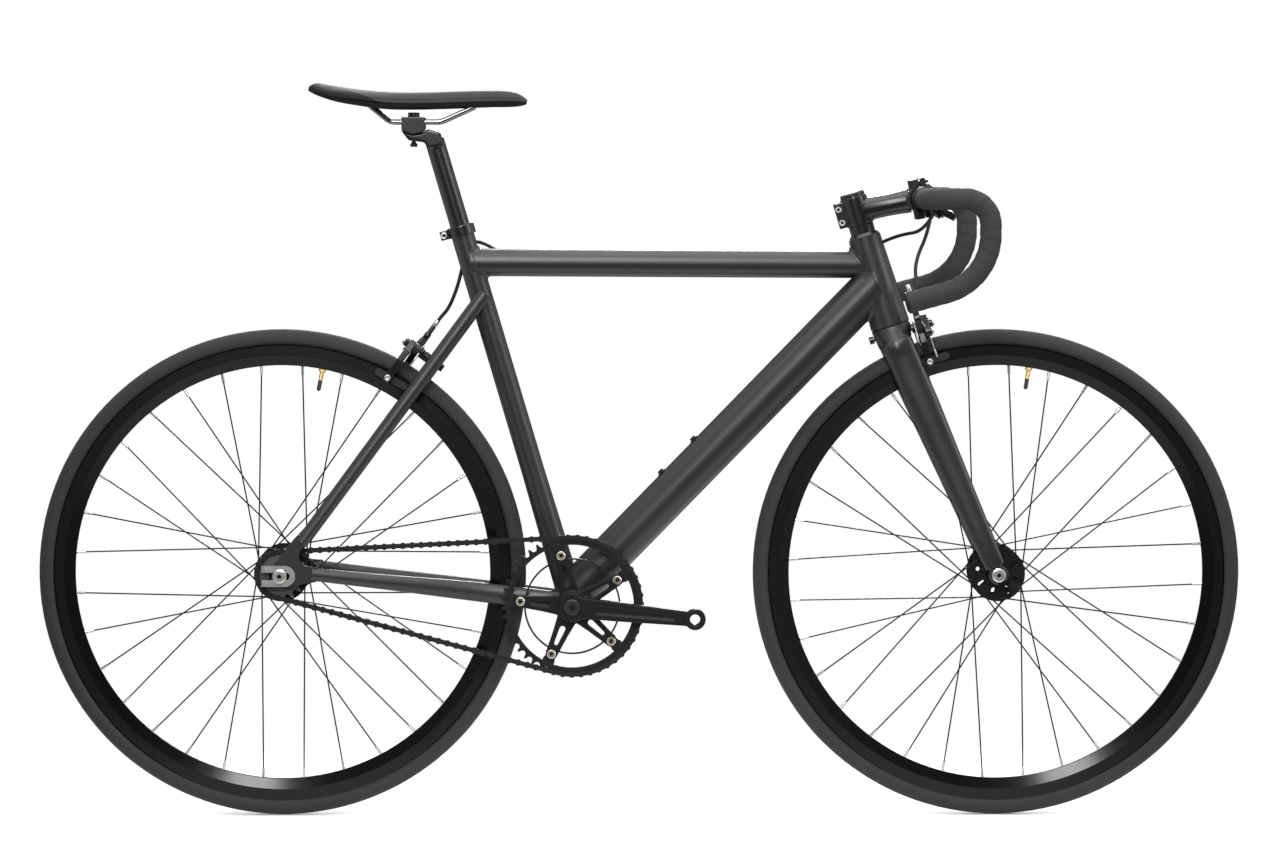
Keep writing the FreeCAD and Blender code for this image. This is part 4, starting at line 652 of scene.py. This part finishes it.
# Bar tape: one strip wound round each drop, with a step at every overlap.
BEND_STEPS = 16
TAPE_SIDES = 40
OVERLAP_EASE = 0.55


def drop_line(side):
    """The centreline of one drop, from the start of the tape to the bar's end."""
    slope = Vector((-math.cos(GRIP_SLOPE), 0, -math.sin(GRIP_SLOPE)))
    hook_low = GRIP_END - slope * ((BAR.x + BAR_REACH - GRIP_END.x) / math.cos(GRIP_SLOPE))
    corners = [BAR + Vector((0, -TAPE_FROM, 0)), BAR + Vector((0, -BAR_HALF, 0)),
               BAR + Vector((BAR_REACH, -BAR_HALF, 0)), hook_low, GRIP_END]
    out = [corners[0]]
    for a, b, c, radius in zip(corners, corners[1:], corners[2:], BAR_BENDS):
        d, e = (b - a).normalized(), (c - b).normalized()
        turn = d.angle(e)
        back = radius * math.tan(turn / 2)
        inward = (e - d * e.dot(d)).normalized()
        foot = b - d * back
        for k in range(BEND_STEPS + 1):
            t = turn * k / BEND_STEPS
            out.append(foot + d * (radius * math.sin(t)) + inward * (radius * (1 - math.cos(t))))
    out.append(corners[-1])
    return [Vector((p.x, p.y * -side, p.z)) for p in out]


def tape_tree():
    g = Grower("wound_tape", Radius=TAPE_R, Pitch=0.017, Step=0.0008, Spacing=0.0016)
    dense = g.node("GeometryNodeResampleCurve", {"mode": "LENGTH"},
                   {"Curve": g.geometry(), "Length": g.size("Spacing")})
    along = g.node("GeometryNodeSplineParameter")
    run = g.node("GeometryNodeCaptureAttribute", {"domain": "POINT"})
    run.capture_items.new("FLOAT", "run")
    g.tree.links.new(dense.outputs[0], run.inputs[0])
    g.tree.links.new(along.outputs["Length"], run.inputs[1])
    ring = g.node("GeometryNodeCurvePrimitiveCircle", {"mode": "RADIUS"},
                  {"Resolution": TAPE_SIDES, "Radius": g.size("Radius")})
    round_at = g.node("GeometryNodeSplineParameter")
    lap = g.node("GeometryNodeCaptureAttribute", {"domain": "POINT"})
    lap.capture_items.new("FLOAT", "lap")
    g.tree.links.new(ring.outputs[0], lap.inputs[0])
    g.tree.links.new(round_at.outputs["Factor"], lap.inputs[1])
    skin = g.node("GeometryNodeCurveToMesh", {}, {"Curve": run.outputs[0], "Profile Curve": lap.outputs[0],
                                                  "Fill Caps": True})
    turn = g.sum("ADD", g.sum("DIVIDE", run.outputs[1], g.size("Pitch")), lap.outputs[1])
    saw = g.sum("FRACT", turn)
    lift = g.sum("MULTIPLY", g.sum("POWER", saw, OVERLAP_EASE), g.size("Step"))
    drop = g.sum("SUBTRACT", lift, g.size("Step"))
    normal = g.node("GeometryNodeInputNormal")
    push = g.node("ShaderNodeVectorMath", {"operation": "SCALE"}, {0: normal.outputs[0], "Scale": drop})
    shaped = g.node("GeometryNodeSetPosition", {}, {"Geometry": skin.outputs[0], "Offset": push.outputs[0]})
    g.end(shaped.outputs[0])
    return g


tape = tape_tree()
TAPE_BAND = [(0.0140, -0.001), (0.0154, -0.0005), (0.0154, 0.0115), (0.0140, 0.012), (0.0122, 0.012),
             (0.0122, -0.001), (0.0140, -0.001)]
for side, label in ((-1, "left"), (1, "right")):
    wrap = tape.grow(line_object("tape_line", drop_line(side)), "tape_wrap_" + label, bar_cork)
    attach(wrap, "steering")
    if side < 0:
        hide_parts("bar_tape")
    band = turned("tape_end_band_" + label, TAPE_BAND, BAR + Vector((0, side * -TAPE_FROM, 0)), (0, -side, 0),
                  plug_plastic)
    attach(band, "steering")


# Saddle cover: a crowned pad whose sides draw in to a seam above the base.
def smooth_rows(rows, steps):
    """Catmull-Rom rows between the given ones."""
    out = []
    for i in range(len(rows) - 1):
        p0, p1 = rows[max(i - 1, 0)], rows[i]
        p2, p3 = rows[i + 1], rows[min(i + 2, len(rows) - 1)]
        for k in range(steps):
            t = k / steps
            out.append(tuple(0.5 * (2 * b + (c - a) * t + (2 * a - 5 * b + 4 * c - d) * t * t
                                    + (3 * b - a - 3 * c + d) * t ** 3)
                             for a, b, c, d in zip(p0, p1, p2, p3)))
    out.append(rows[-1])
    return out


ARCH = [(0.0, 0.0), (0.24, 0.006), (0.45, 0.03), (0.64, 0.09), (0.80, 0.20), (0.915, 0.35), (0.975, 0.50),
        (0.990, 0.60), (0.975, 0.69)]
UNDERSIDE = [(0.86, 0.0002), (0.4, 0.0004)]
END_BULGE = 0.0015
COVER_STEPS, SEAM_STEPS = 5, 6


def saddle_ring(x, half, top, low):
    h = top - low
    half_ring = [Vector((x, half * a, top - b * h)) for a, b in ARCH]
    for share, lift in UNDERSIDE:
        half_ring.append(Vector((x, half * share, top - (1 - SEAM) * h + lift)))
    other = [Vector((p.x, -p.y, p.z)) for p in reversed(half_ring[1:])]
    return half_ring + other


def saddle_cover():
    rows = smooth_rows(SADDLE, COVER_STEPS)
    rings = [saddle_ring(*row) for row in rows]
    n = len(rings[0])
    verts = [p for ring in rings for p in ring]
    faces = []
    for i in range(len(rings) - 1):
        for k in range(n):
            m = (k + 1) % n
            faces.append((i * n + k, i * n + m, (i + 1) * n + m, (i + 1) * n + k))
    for i, x_push in ((0, -END_BULGE), (len(rings) - 1, END_BULGE)):
        centre = sum(rings[i], Vector()) / n + Vector((x_push, 0, 0))
        verts.append(centre)
        for k in range(n):
            faces.append((i * n + k, i * n + (k + 1) % n, len(verts) - 1))
    cover = mesh_object("saddle_cover", verts, faces, cover_leather)
    smooth = cover.modifiers.new("round", "SUBSURF")
    smooth.levels = smooth.render_levels = 1
    return cover


cover = saddle_cover()
attach(cover, "saddle_post")
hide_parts("saddle_pad")


def stitch_tree():
    g = Grower("cover_stitches", Pitch=0.0036, Length=0.0022, Thick=0.00042)
    spots = g.node("GeometryNodeCurveToPoints", {"mode": "LENGTH"},
                   {"Curve": g.geometry(), "Length": g.size("Pitch")})
    thread = g.node("GeometryNodeMeshCylinder", {}, {"Vertices": 6, "Side Segments": 1,
                                                     "Radius": g.size("Thick"), "Depth": g.size("Length")})
    laid = g.node("GeometryNodeInstanceOnPoints", {}, {"Points": spots.outputs["Points"],
                                                       "Instance": thread.outputs[0],
                                                       "Rotation": spots.outputs["Rotation"]})
    g.end(laid.outputs[0])
    return g


stitches = stitch_tree()
STITCH_OUT, STITCH_DOWN = 0.952, 0.43
for side, label in ((-1, "right"), (1, "left")):
    edge = [Vector((x, side * half * STITCH_OUT, top - STITCH_DOWN * (top - low)))
            for x, half, top, low in smooth_rows(SADDLE[1:-1], SEAM_STEPS)]
    seam = stitches.grow(line_object("seam_line", edge), "saddle_seam_" + label, plug_plastic)
    attach(seam, "saddle_post")


# Brake cables: housings on their routes, with fluted adjusters at the calipers.
def route_curve(name, points):
    """The smooth line that a route's points control."""
    curve = bpy.data.curves.new(name, "CURVE")
    curve.dimensions = "3D"
    spline = curve.splines.new("NURBS")
    spline.points.add(len(points) - 1)
    for spot, p in zip(spline.points, points):
        spot.co = (*p, 1.0)
    spline.order_u = 3
    spline.use_endpoint_u = True
    curve.resolution_u = 24
    made = bpy.data.objects.new(name, curve)
    bpy.context.collection.objects.link(made)
    return made


def housing(name, points):
    made = route_curve(name, points)
    made.data.bevel_depth = CABLE_D / 2
    made.data.bevel_resolution = 5
    made.data.use_fill_caps = True
    made.data.materials.append(housing_black)
    return made


def route_points(points):
    holder = route_curve("measure", points)
    bpy.context.view_layer.update()
    deps = bpy.context.evaluated_depsgraph_get()
    mesh = bpy.data.meshes.new_from_object(holder.evaluated_get(deps))
    out = [v.co.copy() for v in mesh.vertices]
    bpy.data.objects.remove(holder)
    return out


def line_length(line):
    return sum((b - a).length for a, b in zip(line, line[1:]))


FRONT_ROUTE = [(.4085, .042, .8442), (.402, .012, .812), (.381, -.002, .768), (.383, -.026, .735),
               (.37237, -.034, .7281), (.37604, -.034, .71563)]
REAR_ROUTE = [(.4085, -.042, .8442), (.396, -.016, .812), (.360, .022, .806), (.322, .036, .788),
              (.262, .0181, .768)]
BACK_ROUTE = [(-.200, .006, .7856), (-.216, .010, .797), (-.240, .026, .796), (-.249, .028, .745),
              (-.264, .032, .705), (-.27775, .034, .69015), (-.28656, .034, .67801)]
BARREL = [(0.0, 0.0185), (0.0030, 0.0185), (0.0036, 0.0178), (0.0036, 0.0062), (0.0046, 0.0056),
          (0.0046, -0.0010), (0.0040, -0.0014), (0.0, -0.0014)]
FRONT_ADJUSTER = Vector((0.38084, -0.034, 0.69932))
REAR_ADJUSTER = Vector((-0.29655, 0.034, 0.66425))
FLUTES = {"knurl": 0.0003, "teeth": 16}
front_barrel = turned("front_cable_adjuster", BARREL, FRONT_ADJUSTER, STEER, brake_black, **FLUTES)
rear_barrel = turned("rear_cable_adjuster", BARREL, REAR_ADJUSTER, -DOWN_REAR, brake_black, **FLUTES)
attach(front_barrel, "steering")
attach(rear_barrel, "frame")
front_cable = housing("front_brake_housing", FRONT_ROUTE)
attach(front_cable, "steering")
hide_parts("front_brake_cable")
line_length(route_points(FRONT_ROUTE))
rear_line = route_points(REAR_ROUTE)
rear_cable = rope("rear_brake_housing_front", rear_line, CABLE_D / 2, housing_black, sides=16)
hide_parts("rear_brake_cable")
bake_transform(rear_cable)
back_cable = housing("rear_brake_housing_back", BACK_ROUTE)
attach(back_cable, "frame")
line_length(route_points(BACK_ROUTE))


# Brake details: inner wires, pinch bolts, springs, pad bolts, ferrules and the rear boot.
BOLT = [(0.0, 0.0), (0.0042, 0.0), (0.0042, 0.0026), (0.0036, 0.0032), (0.0023, 0.0032), (0.0021, 0.0010),
        (0.0, 0.0010)]
FERRULE = [(0.0, 0.0), (0.0030, 0.0), (0.0036, 0.0014), (0.0036, 0.0095), (0.0031, 0.0105), (0.0, 0.0105)]
CRIMP = [(0.0, 0.0), (0.0012, 0.0), (0.0015, 0.001), (0.0015, 0.010), (0.0, 0.0112)]
BOOT_RIBS, RIB_PITCH, BOOT_LEN = 13, 0.0018, 0.0262
WIRE_R, SPRING_R = 0.0008, 0.0011


class Brake:
    """Places on one brake, in millimetres: u across the wheel, v towards the axle, w along its bolt."""

    def __init__(self, name, hole, u, v, w, near, far):
        self.name = name
        self.hole, self.u, self.v, self.w = Vector(hole), Vector(u), Vector(v), Vector(w)
        self.near_layer, self.far_layer = near, far

    def at(self, u, v, w):
        return self.hole + (self.u * u + self.v * v + self.w * w) / 1000.0


front_brake = Brake("front", (0.35127, 0.0, 0.668729), SIDEWAYS, -STEER, AHEAD, 37.0, 46.5)
rear_hole = Vector((-0.30125, 0.0, 0.65778)) + (DOWN_REAR * 13.0 - REAR_BACK * 30.5) / 1000.0
rear_brake = Brake("rear", rear_hole, -SIDEWAYS, DOWN_REAR, REAR_BACK, 30.5, 40.0)

# Brake, its carrier, its near and far arms, and the reach of its pad bolts.
BRAKES = [
    (front_brake, "steering", "front_caliper_right", "front_caliper_left", 48.98),
    (rear_brake, "frame", "rear_caliper_left", "rear_caliper_right", 52.88),
]
# Places on a brake, in its own millimetres.
CABLE_SIDE, PAD_SIDE = -34, 36.0
WIRE_TOP, PINCH_DOWN = -21, 9
PINCH_OUT, CAP_OUT, SPRING_IN = 4.3, 9.9, 5.6
BOOT_TOP, BOOT_END = -19, 5
WIRE_TAIL = [(12, 0.6), (26, 1.4), (34, 2.0)]
SPRING = [(-29, 24), (-27, 12), (-22, 2), (-12, -7), (0, -10), (12, -9), (22, -2), (28, 8), (30, 22)]
for brake, body, _, far_arm, _ in BRAKES:
    pinch = brake.at(CABLE_SIDE, PINCH_DOWN, brake.far_layer)
    top = brake.at(CABLE_SIDE, WIRE_TOP, brake.near_layer)
    tail = [top, top.lerp(pinch, 0.5), pinch]
    tail += [pinch + (brake.v * v + brake.w * w) / 1000 for v, w in WIRE_TAIL]
    attach(rope(brake.name + "_inner_wire", tail, WIRE_R, bright_steel), body)
    attach(turned(brake.name + "_wire_crimp", CRIMP, tail[-2], tail[-1] - tail[-2], bright_steel, 20), body)
    bolt_at = brake.at(CABLE_SIDE, PINCH_DOWN, brake.far_layer + PINCH_OUT)
    cap_at = brake.at(0, 0, brake.far_layer + CAP_OUT)
    attach(turned(brake.name + "_pinch_bolt", BOLT, bolt_at, brake.w, bright_steel, 36), far_arm)
    attach(turned(brake.name + "_pivot_cap", BOLT, cap_at, brake.w, bright_steel, 36), body)
    spring = [brake.at(u, v, brake.near_layer - SPRING_IN) for u, v in SPRING]
    attach(rope(brake.name + "_brake_spring", spring, SPRING_R, bright_steel), body)

front_ferrule_at = Vector(FRONT_ROUTE[-1]) + STEER * 0.0125
rear_ferrule_at = Vector(BACK_ROUTE[-1]) - DOWN_REAR * 0.0005
attach(turned("front_cable_ferrule", FERRULE, front_ferrule_at, STEER, bright_steel, 32), "steering")
attach(turned("rear_cable_ferrule", FERRULE, rear_ferrule_at, -DOWN_REAR, bright_steel, 32), "frame")
boot_from = rear_brake.at(CABLE_SIDE, BOOT_TOP, rear_brake.near_layer)
boot_to = rear_brake.at(CABLE_SIDE, BOOT_END, rear_brake.far_layer)
boot = [(0.0, 0.0)]
for k in range(BOOT_RIBS):
    h = 0.002 + RIB_PITCH * k
    boot += [(0.0030, h), (0.0039, h + RIB_PITCH / 2)]
boot += [(0.0026, BOOT_LEN), (0.0, BOOT_LEN)]
attach(turned("rear_wire_boot", boot, boot_from, boot_to - boot_from, plug_plastic, 32), "frame")
for brake, _, near_arm, far_arm, reach in BRAKES:
    for side, layer, arm in ((-1, brake.near_layer, near_arm), (1, brake.far_layer, far_arm)):
        bolt_at = brake.at(side * PAD_SIDE, reach, layer)
        bolt = turned(arm + "_pad_bolt", BOLT, bolt_at, brake.u * side, bright_steel, 36)
        attach(bolt, arm)


# Hexagon sockets: a thin near-black hexagon on each bolt head, painted shade standing in for the socket's
# recess, given by its place, direction and radius.
SOCKET_T = 0.0003
RING_SOCKET_R, CRANK_SOCKET_R, STEM_SOCKET_R, AXLE_SOCKET_R = 0.00255, 0.0041, 0.00205, 0.0031
RING_BOLT_R, RING_BOLT_START, RING_BOLT_Y = 0.072, 30.4, -0.0476
CRANK_END, FRONT_AXLE_END, REAR_AXLE_END = 0.0633, 0.0613, 0.0729
PINCH_HEIGHTS, PINCH_BACK, PINCH_SIDE = (0.155, 0.174), 0.0245, 0.0131
PLATE_UP, PLATE_ACROSS, PLATE_FRONT = 0.024, 0.0135, 0.0107


# Each hexagon is painted shade laid on a bolt head where the socket's recess would look dark.
def sockets(name, spots, body):
    verts, faces = [], []
    for centre, axis, radius in spots:
        first = len(verts)
        corners = spread(axis, 6)
        for h in (0.0, SOCKET_T):
            verts += [Vector(centre) + Vector(axis) * h + out * radius for out in corners]
        faces.append(tuple(first + 5 - k for k in range(6)))
        faces.append(tuple(first + 6 + k for k in range(6)))
        for k in range(6):
            m = (k + 1) % 6
            faces.append((first + k, first + m, first + 6 + m, first + 6 + k))
    attach(mesh_object(name, verts, faces, painted_socket_shade, False), body)


ring_spots = []
for k in range(5):
    a = math.radians(RING_BOLT_START + 72.0 * k)
    across, up = RING_BOLT_R * math.cos(a), RING_BOLT_R * math.sin(a)
    ring_spots.append((SHELL + Vector((across, RING_BOLT_Y, up)), NEAR, RING_SOCKET_R))
for side in (NEAR, FAR):
    ring_spots.append((SHELL + side * CRANK_END, side, CRANK_SOCKET_R))
sockets("crank_bolt_socket_shade", ring_spots, "crankset")
stem_spots = []
for height in PINCH_HEIGHTS:
    stem_spots.append((HEAD + STEER * height - AHEAD * PINCH_BACK + NEAR * PINCH_SIDE, NEAR, STEM_SOCKET_R))
for up in (-PLATE_UP, PLATE_UP):
    for y in (-PLATE_ACROSS, PLATE_ACROSS):
        spot = BAR + STEM_UP * up + SIDEWAYS * y + STEM_DIR * PLATE_FRONT
        stem_spots.append((spot, STEM_DIR, STEM_SOCKET_R))
rear_spots = []
for side in (NEAR, FAR):
    stem_spots.append((Vector((WHEEL_X, 0.0, WHEEL_Z)) + side * FRONT_AXLE_END, side, AXLE_SOCKET_R))
    rear_spots.append((Vector((-WHEEL_X, 0.0, WHEEL_Z)) + side * REAR_AXLE_END, side, AXLE_SOCKET_R))
sockets("steering_bolt_socket_shade", stem_spots, "steering")
sockets("rear_axle_socket_shade", rear_spots, "frame")
collar_spot = SHELL + SEAT_AXIS * 0.5402 - SEAT_FORE * 0.025 + NEAR * 0.0065
COLLAR_BOLT = [(0.0, 0.0), (0.0046, 0.0), (0.0046, 0.0034), (0.0040, 0.0040), (0.0023, 0.0040),
               (0.0021, 0.0012), (0.0, 0.0012)]
attach(turned("collar_bolt_head", COLLAR_BOLT, collar_spot, NEAR, bright_steel, 36), "frame")


# The thin spacer between the stem and the cap.
STEM_TOP = 0.1851
SPACER = [(0.0144, 0.0), (0.0170, 0.0), (0.0172, 0.0002), (0.0172, 0.0016), (0.0170, 0.0018),
          (0.0144, 0.0018), (0.0144, 0.0)]
attach(turned("stem_top_spacer", SPACER, HEAD + STEER * STEM_TOP, STEER, gloss_alloy, 72), "steering")


# Smoothed welds where the main tubes meet: a hollow fillet from one wall to the other.
def wall_distance(p, axis, other, other_axis, other_radius):
    """How far a point goes along an axis to reach another tube's wall."""
    w = p - other
    w = w - other_axis * w.dot(other_axis)
    d = axis - other_axis * axis.dot(other_axis)
    b, c = w.dot(d), w.dot(w) - other_radius ** 2
    return (-b - math.sqrt(max(b * b - d.dot(d) * c, 0.0))) / d.dot(d)


WELD_STEPS, WELD_ROWS = 128, 9
WELD_LIFT = 0.0001
WELD_ROOT = 0.0015
GRAZING = 0.3


def weld_fillet(name, foot, axis, radius, other, other_axis, other_radius, reach):
    """A band round one tube's end, hollow between its own wall and the wall that it meets."""
    axis = Vector(axis).normalized()
    verts = []
    for out in spread(axis, WELD_STEPS):
        p = foot + out * radius
        corner = p + axis * wall_distance(p, axis, other, other_axis, other_radius)
        low = corner - axis * reach + out * WELD_LIFT
        spot = corner - other
        normal = (spot - other_axis * spot.dot(other_axis)).normalized()
        creep = out - normal * out.dot(normal)
        high = corner + creep * reach - other
        along = other_axis * high.dot(other_axis)
        flat = high - along
        away = flat.length if creep.length < GRAZING else other_radius + WELD_LIFT
        high = other + along + flat.normalized() * away
        for i in range(WELD_ROWS - 1):
            t = i / (WELD_ROWS - 2)
            verts.append(low * (1 - t) ** 2 + corner * (2 * t * (1 - t)) + high * t ** 2)
        verts.append(corner - (out + normal) * WELD_ROOT)
    fillet = mesh_object(name, verts, band_faces(WELD_STEPS, WELD_ROWS, True), satin_frame)
    attach(fillet, "frame")


TOP_REAR = Vector((-0.2334, 0.0, 0.7685))
TOP_FRONT = Vector((0.3228, 0.0, 0.7655))
DOWN = Vector((0.0557, 0.0, 0.4602))
DOWN_AXIS = Vector((math.cos(math.radians(45.78)), 0.0, math.sin(math.radians(45.78))))
middle = (TOP_REAR + TOP_FRONT) / 2
HEAD_R_TOP, HEAD_R_DOWN = 0.0241, 0.0262
weld_fillet("weld_top_head", middle, TOP_FRONT - TOP_REAR, TOP_TUBE_R, HEAD, STEER, HEAD_R_TOP, 0.0055)
weld_fillet("weld_top_seat", middle, TOP_REAR - TOP_FRONT, TOP_TUBE_R, SHELL, SEAT_AXIS, SEAT_TUBE_R, 0.007)
weld_fillet("weld_down_head", DOWN, DOWN_AXIS, DOWN_TUBE_R, HEAD, STEER, HEAD_R_DOWN, 0.0065)


# A smooth coat of paint over the long round tubes, to a given end or to another tube's wall.
COAT_T = 0.00006
COAT_STEPS, COAT_ROWS = 160, 40


def paint_coat(name, foot, axis, radius, start, end=None, wall=None):
    axis = Vector(axis).normalized()
    verts = []
    for out in spread(axis, COAT_STEPS):
        p = foot + out * (radius + COAT_T)
        last = wall_distance(p, axis, *wall) if wall else end
        verts += [p + axis * (start + (last - start) * i / (COAT_ROWS - 1)) for i in range(COAT_ROWS)]
    coat = mesh_object(name, verts, band_faces(COAT_STEPS, COAT_ROWS), satin_frame)
    attach(coat, "frame")


top_wall, down_wall = (HEAD, STEER, 0.0225), (HEAD, STEER, 0.0250)
paint_coat("top_tube_coat", middle, TOP_FRONT - TOP_REAR, TOP_TUBE_R, start=-0.2640, wall=top_wall)
paint_coat("down_tube_coat", DOWN, DOWN_AXIS, DOWN_TUBE_R, start=-0.1780, wall=down_wall)
paint_coat("seat_tube_coat", SHELL, SEAT_AXIS, SEAT_TUBE_R, start=0.030, end=0.520)


# Stage: pale floor that fades out, white surroundings, soft lamps and the camera.
WHITE = (1.0, 1.0, 1.0, 1.0)
ROOM_LIGHT = 0.26
SIDE_DIM, SIDE_FROM, SIDE_TO = 0.95, 0.45, 0.85
FLOOR_HALF, FLOOR_Z = 4, -0.0005
FLOOR_LONG, FLOOR_WIDE = 1.15, 0.95
FADE_FROM, FADE_TO = 0.55, 1.05


def white_world():
    """White for the camera, dimmer for diffuse light, and darker along the sides in reflections."""
    world = bpy.data.worlds.new("white_room")
    bpy.context.scene.world = world
    world.use_nodes = True
    world.node_tree.nodes.clear()
    g = Graph(world.node_tree)
    rays = g.tree.nodes.new("ShaderNodeLightPath").outputs
    glossy = Wire(g, rays["Is Glossy Ray"])
    x, y, z = g.axes("Generated")
    level = 1.0 - SIDE_DIM * (glossy * g.step(y.math("ABSOLUTE"), SIDE_FROM, SIDE_TO))
    shown = Wire(g, rays["Is Camera Ray"]).math("MAXIMUM", glossy)
    shown = shown.math("MAXIMUM", Wire(g, rays["Is Transmission Ray"]))
    room = g.node("ShaderNodeBackground", {}, {"Color": WHITE, "Strength": ROOM_LIGHT})
    seen = g.node("ShaderNodeBackground", {}, {"Color": WHITE, "Strength": level})
    mix = g.node("ShaderNodeMixShader", {}, {0: shown, 1: room, 2: seen})
    out = g.tree.nodes.new("ShaderNodeOutputWorld")
    g.feed(out.inputs[0], mix)


def floor_finish():
    f = Finish("pale_floor")
    x, y, z = f.axes()
    far = ((x / FLOOR_LONG) ** 2.0 + (y / FLOOR_WIDE) ** 2.0).math("SQRT")
    fade = f.step(far, FADE_FROM, FADE_TO)
    f.set(Base_Color=(0.93, 0.93, 0.93), Roughness=0.9, Specular_IOR_Level=0.1)
    clear = f.node("ShaderNodeBsdfTransparent")
    mix = f.node("ShaderNodeMixShader", {}, {0: fade, 1: Wire(f, f.shader.outputs[0]), 2: clear})
    f.feed(f.tree.nodes["Material Output"].inputs[0], mix)
    return f.material


floor_corners = [(FLOOR_HALF * a, FLOOR_HALF * b, FLOOR_Z) for a, b in ((-1, -1), (1, -1), (1, 1), (-1, 1))]
floor = mesh_object("pale_floor", floor_corners, [(0, 1, 2, 3)], floor_finish(), False)
white_world()


def lamp(name, spot, aim, size, power):
    light = bpy.data.lights.new(name, "AREA")
    light.shape = "RECTANGLE"
    light.size, light.size_y = size
    light.energy = power
    made = bpy.data.objects.new(name, light)
    made.location = spot
    made.rotation_euler = (Vector(aim) - Vector(spot)).to_track_quat("-Z", "Y").to_euler()
    bpy.context.collection.objects.link(made)


lamp("roof_softbox", (0.0, -0.3, 3.2), (0, 0, 0.4), (4.4, 2.2), 100)
lamp("front_softbox", (3.2, -1.2, 1.9), (0.2, 0, 0.6), (1.2, 2.4), 40)
lamp("near_strip", (-0.35, -4.3, 3.1), (0, 0, 0.6), (0.9, 3.2), 230)
lamp("far_strip", (0.35, 4.3, 3.1), (0, 0, 0.6), (0.9, 3.2), 230)

CAMERA_SPOT = Vector((-0.0436, -6.477, 0.8967))
PITCH = math.radians(3.147)
YAW = math.radians(0.3927)
eye = bpy.data.cameras.new("side_camera")
eye.lens = 131.44
eye.sensor_width = 36.0
eye.sensor_fit = "HORIZONTAL"
camera = bpy.data.objects.new("side_camera", eye)
camera.location = CAMERA_SPOT
camera.rotation_euler = (math.pi / 2 - PITCH, 0.0, -YAW)
bpy.context.collection.objects.link(camera)
bpy.context.scene.camera = camera
bpy.context.scene.view_settings.view_transform = "Standard"
